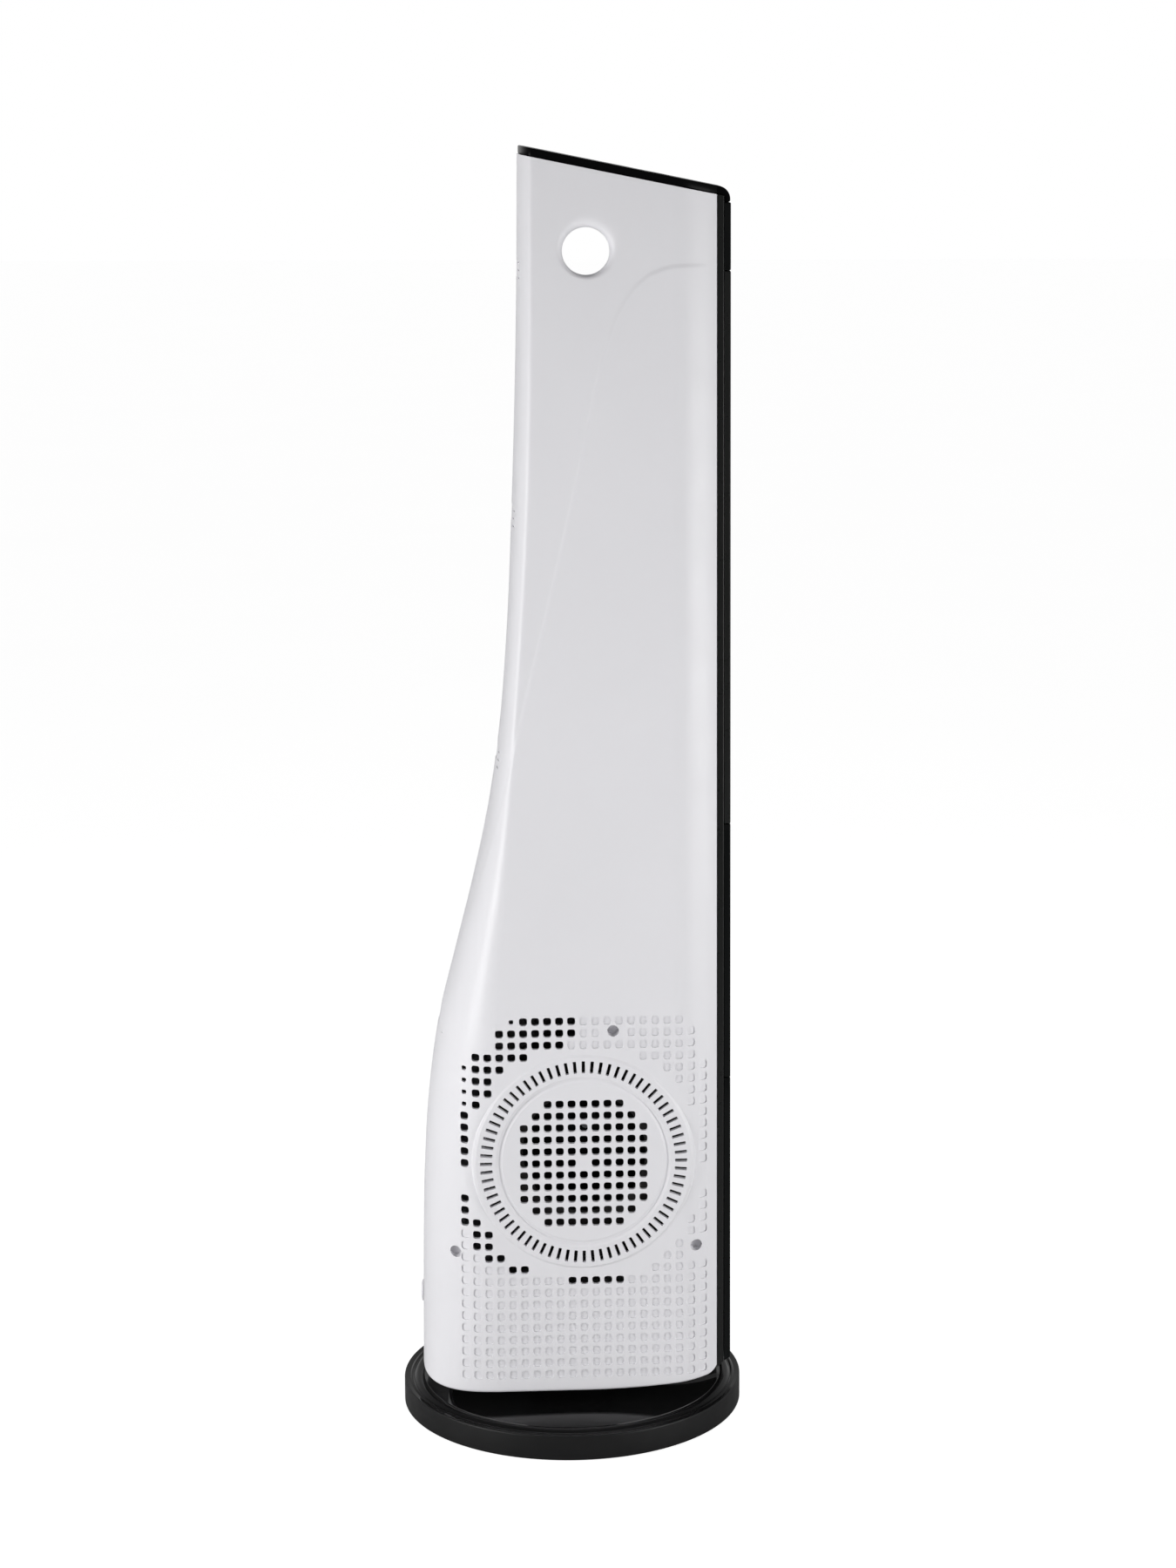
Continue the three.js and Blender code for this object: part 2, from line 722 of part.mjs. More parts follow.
const tipCollarTop = coverUnderside - seatGap;
const tipCollarBottom = tipCollarTop - tipCollarHeight;

function tipSwitch() {
  const body = block(tipPlungerX - tipSwitchLength / 2, tipPlungerX + tipSwitchLength / 2,
    -tipSwitchWidth / 2, tipSwitchWidth / 2, steelPlateTop + seatGap, coverUnderside - seatGap);
  const well = rod(tipCollarRadius + runGap, 0, highCut).translate(tipPlungerX, 0, 0);
  return cut(body, well);
}

function tipPlunger() {
  return turned([
    [0, 0],
    [tipPlungerRadius, 0],
    [tipPlungerRadius, tipCollarBottom],
    [tipCollarRadius, tipCollarBottom],
    [tipCollarRadius, tipCollarTop],
    [0, tipCollarTop],
  ], smallSteps).translate(tipPlungerX, 0, 0);
}

// ---------------------------------------------------------------- swivel pieces
const bushInner = postRadius + runGap;
const bushOuter = bushInner + bushThickness;
const neckInner = bushOuter + runGap;
const neckOuter = neckInner + neckWall;
const neckBottom = basePlateTop + seatGap;
const bottomCoverThickness = 2.5;
const bottomCoverBottom = shellBottom + 1;
const bottomCoverTop = bottomCoverBottom + bottomCoverThickness;
const flangeBottom = bottomCoverTop + seatGap;
const gearBottom = postTop + seatGap;
const gearTop = gearBottom + gearHeight;
const gearPitchRadius = (gearTeeth * toothModule) / 2;
const pinionPitchRadius = (pinionTeeth * toothModule) / 2;
const pinionX = -(gearPitchRadius + pinionPitchRadius + gearShaftPlay);

function swivelBush() {
  return tube(bushInner, bushOuter, basePlateTop + seatGap, postTop - seatGap);
}

function swivelNeck() {
  const sleeve = turned([
    [neckInner, neckBottom],
    [neckOuter, neckBottom],
    [neckOuter, flangeBottom],
    [neckFlangeRadius, flangeBottom],
    [neckFlangeRadius, flangeBottom + neckFlangeThickness],
    [neckOuter, flangeBottom + neckFlangeThickness],
    [neckOuter, postTop],
    [neckInner, postTop],
  ]);
  const holes = onCircle(neckScrewCount, neckScrewCircle, 60)
    .map(([x, y]) => rod(neckScrewRadius + screwGap, 0, highCut).translate(x, y, 0));
  return cut(sleeve, ...holes);
}

function bottomCover() {
  const outline = planOutline(bottomCoverBottom, shellWall + seatGap, 0);
  const plate = planExtrusion(outline, bottomCoverBottom, bottomCoverTop);
  const opening = rod(neckOuter + seatGap, 0, highCut, roundSteps);
  const pilots = onCircle(neckScrewCount, neckScrewCircle, 60)
    .map(([x, y]) => rod(neckScrewRadius + screwGap, 0, highCut).translate(x, y, 0));
  const posts = [-1, 1].map((side) => rod(swingPostRadius, bottomCoverTop - joinDepth,
    swingMotorBase - swingEarThickness - seatGap).translate(pinionX, side * swingPostCircle, 0));
  return cut(join(plate, ...posts), opening, ...pilots);
}

// Straight-sided teeth: tip and root widths are shares of the tooth pitch.
// The teeth are centred on -X, and past the share that is toothed the rim is plain.
function gearOutline(teeth, tipShare, rootShare, turnTeeth, toothedShare) {
  const pitch = (teeth * toothModule) / 2;
  const tip = pitch + toothAddendum * toothModule;
  const root = pitch - toothDedendum * toothModule;
  const step = (2 * Math.PI) / teeth;
  const outline = [];
  for (let i = 0; i < teeth; i += 1) {
    const middle = Math.PI + (i - teeth / 2 + turnTeeth) * step;
    if (Math.abs(i - teeth / 2) > (toothedShare * teeth) / 2) {
      outline.push([root * Math.cos(middle), root * Math.sin(middle)]);
      continue;
    }
    const corners = [[root, -rootShare], [tip, -tipShare], [tip, tipShare], [root, rootShare]];
    for (const [radius, share] of corners) {
      const angle = middle + (share * step) / 2;
      outline.push([radius * Math.cos(angle), radius * Math.sin(angle)]);
    }
  }
  return outline;
}

function fixedGear() {
  const outline = gearOutline(gearTeeth, gearTipShare, gearRootShare, 0, gearToothedShare);
  const rim = planExtrusion(outline, gearBottom, gearTop);
  const holes = onCircle(gearScrewCount, gearScrewCircle, 0)
    .map(([x, y]) => rod(gearScrewRadius + screwGap, 0, highCut).translate(x, y, 0));
  return cut(rim, rod(postBore, 0, highCut, roundSteps), ...holes);
}

// Built at the origin, turned by half a tooth so that a gap faces the fixed gear's tooth.
function swingPinion() {
  const outline = gearOutline(pinionTeeth, pinionTipShare, pinionRootShare, 0.5, 1);
  const teeth = planExtrusion(outline, gearBottom, gearTop);
  const shaft = rod(swingShaftRadius, gearTop - joinDepth, swingMotorBase - seatGap);
  return join(teeth, shaft);
}

// Motor built at the origin with its mounting face down, and two ears on its posts.
function swingMotor() {
  const can = rod(swingMotorRadius, swingMotorBase, swingMotorBase + swingMotorHeight, roundSteps);
  const earReach = swingPostCircle + swingPostRadius;
  const ears = block(-swingPostRadius * 2, swingPostRadius * 2, -earReach, earReach,
    swingMotorBase - swingEarThickness, swingMotorBase + joinDepth);
  const shaftHole = rod(swingShaftRadius + runGap, 0, swingMotorBase);
  return cut(join(can, ears), shaftHole);
}

// ---------------------------------------------------------------- front pieces
const frameBackX = frontX + seatGap;
const frameFrontX = frameBackX + frameThickness;
const panelBackX = frameFrontX + seatGap;
const panelFrontX = panelBackX + panelThickness;
const displayTopZ = capLipBottomZ - seatGap;

// Slab across the front between two depths, as wide as the shells' front edge less an inset.
function frontSlab(lowX, highX, lowZ, highZ, inset) {
  const low = halfWidth(frontX, lowZ) - inset;
  const high = halfWidth(frontX, highZ) - inset;
  const shape = new THREE.Shape([[-low, lowZ], [low, lowZ], [high, highZ], [-high, highZ]]
    .map(([y, z]) => new THREE.Vector2(y, z)));
  const slab = new THREE.ExtrudeGeometry(shape, { depth: highX - lowX, bevelEnabled: false });
  return slab.rotateX(Math.PI / 2).rotateZ(Math.PI / 2).translate(lowX, 0, 0);
}

function frontFrame() {
  const plate = frontSlab(frameBackX, frameFrontX, frameBottomZ, displayTopZ, 0);
  const window = block(frameBackX - cutPast, frameFrontX + cutPast, -windowHalfWidth, windowHalfWidth,
    windowBottomZ, windowTopZ);
  return cut(plate, window);
}

function frontPanel(lowZ, highZ) {
  return frontSlab(panelBackX, panelFrontX, lowZ, highZ, panelInset);
}

function outletGrille() {
  const panel = frontPanel(grilleBottomZ, displayBottomZ - seatGap);
  const slotPitch = (windowTopZ - windowBottomZ) / slatCount;
  const slots = [];
  for (let i = 0; i < slatCount; i += 1) {
    const lowZ = windowBottomZ + i * slotPitch + slatHeight / 2;
    slots.push(block(panelBackX - cutPast, panelFrontX + cutPast, -windowHalfWidth, windowHalfWidth,
      lowZ, lowZ + slotPitch - slatHeight));
  }
  return cut(panel, together(slots));
}

// ---------------------------------------------------------------- cap and controls, in the cap's frame
// The cap's own frame has its origin on the top face at the rear edge, X down the slope.
const lowerLineX = frontX + seatGap;
const powerSpot = [powerButtonAlong, 0, powerButtonRadius];
const buttonFlangeTop = -capThickness - seatGap;
const buttonFlangeBottom = buttonFlangeTop - buttonFlangeThickness;
const controlBoardTop = buttonFlangeBottom - buttonTravel - buttonPressGap - tactHeight;
const rowSpots = [-1.5, -0.5, 0.5, 1.5].map((place) => [buttonRowAlong, place * buttonPitch, buttonRadius]);

function inCapFrame(geometry) {
  return geometry.translate(-capRearX, 0, -capRearTopZ).rotateY(-capSlope);
}

function topCap() {
  const arc = [];
  const arcSteps = 6;
  const sweep = Math.PI / 2 - capSlope;
  const centreX = capFrontX - capFrontRadius;
  const centreZ = capTopZ(centreX) - capFrontRadius / Math.cos(capSlope);
  for (let i = 0; i <= arcSteps; i += 1) {
    const angle = (sweep * i) / arcSteps;
    arc.push([centreX + capFrontRadius * Math.cos(angle), centreZ + capFrontRadius * Math.sin(angle)]);
  }
  const profile = [
    [capRearX - cutPast, capTopZ(capRearX - cutPast) - capDrop],
    [lowerLineX, capTopZ(lowerLineX) - capDrop],
    [lowerLineX, capLipBottomZ],
    [capFrontX, capLipBottomZ],
    ...arc,
    [capRearX - cutPast, capTopZ(capRearX - cutPast)],
  ];
  const slab = sideExtrusion(profile, -farOut, farOut);
  const plan = planOutline(capLipBottomZ, capInset, capFrontX - frontX)
    .map(([x, y]) => [Math.max(x, capRearX), y]);
  const trimmed = common(slab, planExtrusion(plan, capLipBottomZ - cutPast, capRearTopZ + cutPast));
  const local = inCapFrame(trimmed);
  const buttonHoles = [powerSpot, ...rowSpots]
    .map(([x, y, radius]) => rod(radius + runGap, -highCut, highCut, buttonSteps).translate(x, y, 0));
  const standoffs = controlBoardCorners()
    .map(([x, y]) => rod(controlStandoffRadius, controlBoardTop + seatGap, -capThickness + joinDepth)
      .translate(x, y, 0));
  return cut(join(local, ...standoffs), ...buttonHoles);
}

function button(radius) {
  return turned([
    [0, buttonFlangeBottom],
    [radius + buttonFlangeExtra, buttonFlangeBottom],
    [radius + buttonFlangeExtra, buttonFlangeTop],
    [radius, buttonFlangeTop],
    [radius, -buttonSink],
    [0, -buttonSink],
  ], buttonSteps);
}

function controlBoardCorners() {
  const spots = [];
  for (const side of [-1, 1]) {
    for (const end of [-1, 1]) {
      const x = controlBoardAlong + end * (controlBoardLength / 2 - controlStandoffInset);
      spots.push([x, side * (controlBoardWidth / 2 - controlStandoffInset)]);
    }
  }
  return spots;
}

function controlBoard() {
  const halfLength = controlBoardLength / 2;
  const halfWide = controlBoardWidth / 2;
  const board = block(controlBoardAlong - halfLength, controlBoardAlong + halfLength, -halfWide, halfWide,
    controlBoardTop - boardThickness, controlBoardTop);
  const tacts = [powerSpot, ...rowSpots].map(([x, y]) => block(x - tactSize / 2, x + tactSize / 2,
    y - tactSize / 2, y + tactSize / 2, controlBoardTop - joinDepth, controlBoardTop + tactHeight));
  return join(board, ...tacts);
}

// ---------------------------------------------------------------- blower
const blowerInnerNear = blowerNearY + inletPlate + seatGap;

// Spiral outline of the scroll with its outlet going up, grown by a wall and open-topped by reach.
function scrollOutline(grow, reach) {
  const outline = [];
  const outletOuterX = intakeX + scrollEnd;
  for (let i = 0; i <= scrollSteps; i += 1) {
    const share = i / scrollSteps;
    const angle = -share * THREE.MathUtils.degToRad(scrollDegrees);
    const radius = scrollEnd - (scrollEnd - scrollStart) * share + grow;
    outline.push([intakeX + radius * Math.cos(angle), intakeZ + radius * Math.sin(angle)]);
  }
  outline.push([outletInnerX - grow, tongueZ]);
  outline.push([outletInnerX - grow, outletTopZ + reach]);
  outline.push([outletOuterX + grow, outletTopZ + reach]);
  return outline;
}

function blowerHousing() {
  const outside = sideExtrusion(scrollOutline(blowerWall, 0), blowerInnerNear, blowerFarY);
  const inside = sideExtrusion(scrollOutline(0, cutPast), blowerInnerNear - cutPast,
    blowerFarY - blowerWall);
  const shaftHole = alongY(rod(shaftRadius + shaftHoleGap, blowerFarY - 2 * cutPast, blowerFarY + cutPast),
    intakeX, intakeZ);
  return cut(outside, inside, shaftHole);
}

function inletRing() {
  const plate = sideExtrusion(scrollOutline(blowerWall, 0), blowerNearY, blowerNearY + inletPlate);
  const mouth = alongY(rod(inletRadius, blowerNearY - cutPast, blowerNearY + 2 * cutPast, roundSteps),
    intakeX, intakeZ);
  return cut(plate, mouth);
}

// Wheel built about Z with its open end down; alongY lays it in its housing.
function blowerWheel() {
  const ring = tube(wheelInner, wheelRadius, wheelNearY, wheelNearY + wheelRing);
  const disc = rod(wheelRadius, wheelFarY - wheelRing, wheelFarY, roundSteps);
  const hub = rod(hubRadius, wheelFarY - hubLength, wheelFarY);
  const lean = THREE.MathUtils.degToRad(bladeLean);
  const blades = [];
  for (let i = 0; i < bladeCount; i += 1) {
    const start = (2 * Math.PI * i) / bladeCount;
    const inner = wheelInner + joinDepth;
    const outer = wheelRadius - joinDepth;
    const half = bladeThickness / 2;
    const corner = (radius, angle, shift) => [
      radius * Math.cos(angle) - shift * Math.sin(angle),
      radius * Math.sin(angle) + shift * Math.cos(angle),
    ];
    blades.push(planExtrusion([
      corner(inner, start, -half), corner(outer, start + lean, -half),
      corner(outer, start + lean, half), corner(inner, start, half),
    ], wheelNearY + wheelRing / 2, wheelFarY - wheelRing / 2));
  }
  const bore = rod(shaftRadius + shaftFitGap, wheelFarY - hubLength - cutPast, wheelFarY + cutPast);
  return cut(join(ring, disc, hub, together(blades)), bore);
}

function motorShaft() {
  return rod(shaftRadius, wheelFarY - hubLength, motorEndY - motorEndWall - seatGap);
}

function blowerMotor() {
  const start = blowerFarY + seatGap;
  const bodyShape = turned([
    [0, start],
    [motorRadius, start],
    [motorRadius, motorEndY - motorShoulderLength],
    [motorRadius - motorShoulder, motorEndY],
    [0, motorEndY],
  ]);
  return cut(bodyShape, rod(shaftRadius + runGap, start - cutPast, motorEndY - motorEndWall));
}

function motorClamp() {
  const start = blowerFarY + seatGap;
  const inner = motorRadius + seatGap;
  return tube(inner, inner + clampWall, start, start + clampLength);
}

// ---------------------------------------------------------------- heater pieces
const elementHalfWidth = heaterFrameHalfWidth - heaterFrameWall - seatGap;
const elementBottomZ = heaterFrameBottomZ + heaterFrameWall * 2 + seatGap;
const elementTopZ = heaterFrameTopZ - heaterFrameWall * 2 - seatGap;

function airDuct() {
  const mouthFloor = outletTopZ + seatGap;
  const outletRearX = outletInnerX - blowerWall;
  const stepZ = heaterFrameBottomZ - seatGap;
  const outside = sideExtrusion([
    [outletRearX, mouthFloor], [ductFrontX, mouthFloor], [ductFrontX, stepZ - ductWall],
    [ductMouthX, stepZ], [ductMouthX, ductTopZ], [ductRearHighX, ductTopZ], [ductRearLowX, ductBendZ],
  ], -ductHalfWidth, ductHalfWidth);
  const inside = sideExtrusion([
    [outletRearX + ductWall, mouthFloor - cutPast], [ductFrontX - ductWall, mouthFloor - cutPast],
    [ductFrontX - ductWall, stepZ - 2 * ductWall], [ductMouthX - ductWall, stepZ + ductWall],
    [ductMouthX + cutPast, stepZ + 2 * ductWall], [ductMouthX + cutPast, ductTopZ - ductWall],
    [ductRearHighX + ductWall, ductTopZ - ductWall], [ductRearLowX + ductWall, ductBendZ],
    [outletRearX + ductWall, mouthFloor + ductWall],
  ], -ductHalfWidth + ductWall, ductHalfWidth - ductWall);
  return cut(outside, inside);
}

function heaterFrame() {
  const body = block(heaterFrameBackX, frontX, -heaterFrameHalfWidth, heaterFrameHalfWidth,
    heaterFrameBottomZ, heaterFrameTopZ);
  const inner = heaterFrameHalfWidth - heaterFrameWall;
  const opening = block(heaterFrameBackX - cutPast, frontX + cutPast, -inner, inner,
    elementBottomZ - seatGap, elementTopZ + seatGap);
  return cut(body, opening);
}

function ceramicElement(lowZ, highZ) {
  const body = block(elementBackX, elementBackX + elementDepth, -elementHalfWidth, elementHalfWidth,
    lowZ, highZ);
  const rowPitch = (highZ - lowZ - finThickness) / finRows;
  const columnPitch = (2 * elementHalfWidth - finThickness) / finColumns;
  const gaps = [];
  for (let row = 0; row < finRows; row += 1) {
    for (let column = 0; column < finColumns; column += 1) {
      const y = -elementHalfWidth + finThickness + column * columnPitch;
      const z = lowZ + finThickness + row * rowPitch;
      gaps.push(block(elementBackX - cutPast, elementBackX + elementDepth + cutPast,
        y, y + columnPitch - finThickness, z, z + rowPitch - finThickness));
    }
  }
  return cut(body, together(gaps));
}

function thermalCutout() {
  const base = heaterFrameTopZ + seatGap;
  const plateTop = base + cutoutPlateThickness;
  const plate = block(cutoutRearX, cutoutRearX + cutoutDepth, -cutoutLength / 2, cutoutLength / 2,
    base, plateTop);
  const can = rod(cutoutCanRadius, plateTop - joinDepth, base + cutoutHeight);
  return join(plate, can.translate(cutoutRearX + cutoutDepth / 2, 0, 0));
}

function thermalFuse() {
  const z = heaterFrameBottomZ - seatGap - fuseRadius;
  return alongY(rod(fuseRadius, -fuseLength / 2, fuseLength / 2), fuseX, z);
}

function mainBoardCorners() {
  const [rear, front] = [mainBoardRearX + standoffInset, mainBoardFrontX - standoffInset];
  const [low, high] = [mainBoardBottomZ + standoffInset, mainBoardTopZ - standoffInset];
  return [[rear, low], [front, low], [rear, high], [front, high]];
}

function mainBoard() {
  const board = block(mainBoardRearX, mainBoardFrontX, mainBoardY, mainBoardY + boardThickness,
    mainBoardBottomZ, mainBoardTopZ);
  const middle = (mainBoardRearX + mainBoardFrontX) / 2;
  const parts = boardParts.map(([up, wide, deep, tall]) => {
    const lowZ = mainBoardBottomZ + up;
    return block(middle - wide / 2, middle + wide / 2, mainBoardY - deep, mainBoardY + joinDepth,
      lowZ, lowZ + tall);
  });
  return join(board, ...parts);
}

// ---------------------------------------------------------------- assembly
const heater = new THREE.Group();

function add(name, geometry, finish, parent = heater) {
  const shown = asGeometry(asSolid(geometry)).toNonIndexed();
  shown.computeVertexNormals();
  const mesh = new THREE.Mesh(shown, new THREE.MeshStandardMaterial(finishes[finish]));
  mesh.name = name;
  parent.add(mesh);
  return mesh;
}

function addBase() {
  add('base_cover', baseCover(), 'satinBlack');
  add('base_plate', steelPlate(), 'steel');
  onCircle(footCount, footCircle, 18).forEach((spot, i) => add(`foot_${i + 1}`, foot(spot), 'rubber'));
  const seat = steelPlateBottom - seatGap;
  const screw = screwUp(baseScrewRadius, baseScrewHead, baseScrewHeadHeight, seat, coverUnderside - seatGap);
  onCircle(baseScrewCount, baseScrewCircle, 90).forEach(([x, y], i) => {
    add(`base_screw_${i + 1}`, screw, 'steel').position.set(x, y, 0);
  });
  add('tip_switch', tipSwitch(), 'innerBlack');
  add('tip_plunger', tipPlunger(), 'acetal');
}

function addSwivel() {
  add('swivel_bush', swivelBush(), 'acetal');
  add('swivel_neck', swivelNeck(), 'satinBlack');
  add('fixed_gear', fixedGear(), 'acetal');
  const gearScrew = screwDown(gearScrewRadius, gearScrewHead, gearScrewHeadHeight, gearTop + seatGap,
    postTop - gearScrewDepth);
  onCircle(gearScrewCount, gearScrewCircle, 0).forEach(([x, y], i) => {
    add(`gear_screw_${i + 1}`, gearScrew, 'steel').position.set(x, y, 0);
  });
  const flangeTop = flangeBottom + neckFlangeThickness;
  const neckScrew = screwDown(neckScrewRadius, neckScrewHead, neckScrewHeadHeight, flangeTop + seatGap,
    bottomCoverBottom + seatGap);
  onCircle(neckScrewCount, neckScrewCircle, 60).forEach(([x, y], i) => {
    add(`neck_screw_${i + 1}`, neckScrew, 'steel').position.set(x, y, 0);
  });
  const drive = new THREE.Group();
  drive.position.x = pinionX;
  add('swing_pinion', swingPinion(), 'acetal', drive);
  add('swing_motor', swingMotor(), 'steel', drive);
  heater.add(drive);
}

function addShells() {
  add('right_shell', rightShell(), 'shell');
  add('left_shell', leftShell(), 'shell');
  shellScrewSpots.forEach((spot, i) => add(`shell_screw_${i + 1}`, shellScrew(spot), 'steel'));
  add('cord_gland', cordGland(), 'shell');
  add('bottom_cover', bottomCover(), 'satinBlack');
}

function addFront() {
  add('front_frame', frontFrame(), 'satinBlack');
  add('display_panel', frontPanel(displayBottomZ, displayTopZ), 'glossBlack');
  add('outlet_grille', outletGrille(), 'satinBlack');
  add('lower_front_panel', frontPanel(lowerPanelBottomZ, grilleBottomZ - seatGap), 'glossBlack');
  add('kick_panel', frontPanel(frameBottomZ, lowerPanelBottomZ - seatGap), 'glossBlack');
}

function addControls() {
  const cap = new THREE.Group();
  cap.position.set(capRearX, 0, capRearTopZ);
  cap.rotation.y = capSlope;
  add('top_cap', topCap(), 'glossBlack', cap);
  add('power_button', button(powerButtonRadius), 'button', cap).position.set(powerSpot[0], powerSpot[1], 0);
  ['heat_button', 'fan_button', 'swing_button', 'timer_button'].forEach((name, i) => {
    const [x, y, radius] = rowSpots[i];
    add(name, button(radius), 'button', cap).position.set(x, y, 0);
  });
  add('control_board', controlBoard(), 'board', cap);
  heater.add(cap);
}

function addBlower() {
  add('blower_housing', blowerHousing(), 'innerBlack');
  add('inlet_ring', inletRing(), 'innerBlack');
  add('blower_wheel', alongY(blowerWheel(), intakeX, intakeZ), 'satinBlack');
  add('motor_shaft', alongY(motorShaft(), intakeX, intakeZ), 'steel');
  add('blower_motor', alongY(blowerMotor(), intakeX, intakeZ), 'steel');
  add('motor_clamp', alongY(motorClamp(), intakeX, intakeZ), 'innerBlack');
}

function addHeater() {
  add('air_duct', airDuct(), 'heatPlastic');
  add('heater_frame', heaterFrame(), 'heatPlastic');
  const middle = (elementBottomZ + elementTopZ) / 2;
  add('lower_ceramic_element', ceramicElement(elementBottomZ, middle - elementGap / 2), 'ceramic');
  add('upper_ceramic_element', ceramicElement(middle + elementGap / 2, elementTopZ), 'ceramic');
  add('thermal_cutout', thermalCutout(), 'steel');
  add('thermal_fuse', thermalFuse(), 'ceramic');
  add('main_board', mainBoard(), 'board');
}

addBase();
addSwivel();
addShells();
addFront();
addControls();
addBlower();
addHeater();

export default heater;
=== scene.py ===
import json
import math

import bmesh
import bpy
import numpy as np
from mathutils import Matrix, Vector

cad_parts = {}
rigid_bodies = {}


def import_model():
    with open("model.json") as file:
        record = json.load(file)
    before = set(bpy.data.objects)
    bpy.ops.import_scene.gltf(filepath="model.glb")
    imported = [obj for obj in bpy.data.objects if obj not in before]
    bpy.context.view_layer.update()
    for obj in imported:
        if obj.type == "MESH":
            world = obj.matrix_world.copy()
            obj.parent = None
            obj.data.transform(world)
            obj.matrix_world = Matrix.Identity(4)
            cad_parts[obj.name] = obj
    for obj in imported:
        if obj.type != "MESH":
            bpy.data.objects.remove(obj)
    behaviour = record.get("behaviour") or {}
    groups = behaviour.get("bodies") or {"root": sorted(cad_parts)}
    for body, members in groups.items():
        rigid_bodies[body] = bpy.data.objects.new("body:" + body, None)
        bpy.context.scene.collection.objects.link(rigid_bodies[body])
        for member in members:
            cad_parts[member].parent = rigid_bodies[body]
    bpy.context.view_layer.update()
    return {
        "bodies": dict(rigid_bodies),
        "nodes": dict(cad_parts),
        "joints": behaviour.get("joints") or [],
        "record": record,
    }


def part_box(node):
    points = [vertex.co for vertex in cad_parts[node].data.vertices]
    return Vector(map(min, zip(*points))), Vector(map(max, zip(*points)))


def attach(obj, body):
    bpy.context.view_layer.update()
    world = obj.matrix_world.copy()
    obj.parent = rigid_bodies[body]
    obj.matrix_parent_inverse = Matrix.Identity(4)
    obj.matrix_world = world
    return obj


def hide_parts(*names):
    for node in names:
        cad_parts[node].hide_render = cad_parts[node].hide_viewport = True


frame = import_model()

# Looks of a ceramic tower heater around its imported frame.
# Shapes are worked out in millimetres: +X front, -Y the side with the air intake, +Z up.
mm = 0.001
mergeDistance = 2e-6  # metres: points nearer than this become one
glowReach = 0.004  # metres that light travels inside plastic
cad = frame["nodes"]


def cadBox(node):
    # lowest and highest corner of a frame node, in millimetres
    return [np.array(corner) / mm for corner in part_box(node)]


# ---- mesh helpers

def gridPart(points, closeRows=False, closeColumns=False):
    # points is rows x columns x 3: a quad lies between neighbouring rows and columns
    rows, columns = points.shape[:2]
    index = np.arange(rows * columns).reshape(rows, columns)
    if closeRows:
        index = np.vstack([index, index[:1]])
    if closeColumns:
        index = np.hstack([index, index[:, :1]])
    quads = np.stack([index[:-1, :-1], index[:-1, 1:], index[1:, 1:], index[1:, :-1]], -1)
    return points.reshape(-1, 3), quads.reshape(-1, 4)


def tubeParts(points):
    # points is items x levels x around x 3: one closed prism for each item, with flat ends
    items, levels, around = points.shape[:3]
    index = np.arange(items * levels * around).reshape(items, levels, around)
    wrapped = np.concatenate([index, index[:, :, :1]], 2)
    walls = np.stack([wrapped[:, :-1, :-1], wrapped[:, :-1, 1:], wrapped[:, 1:, 1:], wrapped[:, 1:, :-1]], -1)
    ends = np.concatenate([index[:, 0, ::-1], index[:, -1, :]])
    return points.reshape(-1, 3), walls.reshape(-1, 4), ends


def roundCorners(corners, radii, steps=5):
    # each corner of a closed outline gives way to a short curve between points set back along its sides
    corners = np.array(corners, float)
    radii = np.broadcast_to(np.array(radii, float), len(corners))[:, None]

    def setBack(other):
        side = other - corners
        length = np.linalg.norm(side, axis=1, keepdims=True)
        return corners + side / length * np.minimum(radii, 0.48 * length)

    start = setBack(np.roll(corners, 1, 0))[:, None]
    end = setBack(np.roll(corners, -1, 0))[:, None]
    t = np.linspace(0, 1, steps)[None, :, None]
    curved = (1 - t) ** 2 * start + 2 * t * (1 - t) * corners[:, None] + t ** 2 * end
    return curved.reshape(-1, 2)


def turned(profile, steps, centre=(0, 0, 0), axis="z"):
    # closed outline of radius and height, carried round an axis
    profile = np.array(profile, float)
    angle = np.linspace(0, 2 * np.pi, steps, endpoint=False)[:, None]
    radius, height = profile[:, 0][None], profile[:, 1][None]
    a, b, c = radius * np.cos(angle), radius * np.sin(angle), height + 0 * angle
    order = {"z": (a, b, c), "y": (b, c, a), "x": (c, a, b)}[axis]
    return gridPart(np.stack(order, -1) + np.array(centre, float), True, True)


def toMesh(name, parts):
    # parts are (points, faces, more faces): they go into one mesh, in metres
    points, faces, base = [], [], 0
    for part in parts:
        points.append(part[0])
        for group in part[1:]:
            faces += (np.asarray(group) + base).tolist()
        base += len(part[0])
    mesh = bpy.data.meshes.new(name)
    mesh.from_pydata((np.concatenate(points) * mm).tolist(), [], faces)
    mesh.update()
    return mesh


def closeUp(mesh):
    # merges shared points, which also closes poles, and turns the faces outwards
    work = bmesh.new()
    work.from_mesh(mesh)
    bmesh.ops.remove_doubles(work, verts=work.verts, dist=mergeDistance)
    bmesh.ops.recalc_face_normals(work, faces=work.faces)
    work.to_mesh(mesh)
    work.free()


def newObject(name, parts):
    # closed mesh of the parts, put in the scene
    mesh = toMesh(name, parts)
    closeUp(mesh)
    piece = bpy.data.objects.new(name, mesh)
    bpy.context.scene.collection.objects.link(piece)
    return piece


def applyModifiers(piece):
    # gives the piece the mesh that its modifiers make
    shown = piece.evaluated_get(bpy.context.evaluated_depsgraph_get())
    mesh = bpy.data.meshes.new_from_object(shown)
    piece.modifiers.clear()
    old, piece.data = piece.data, mesh
    bpy.data.meshes.remove(old)


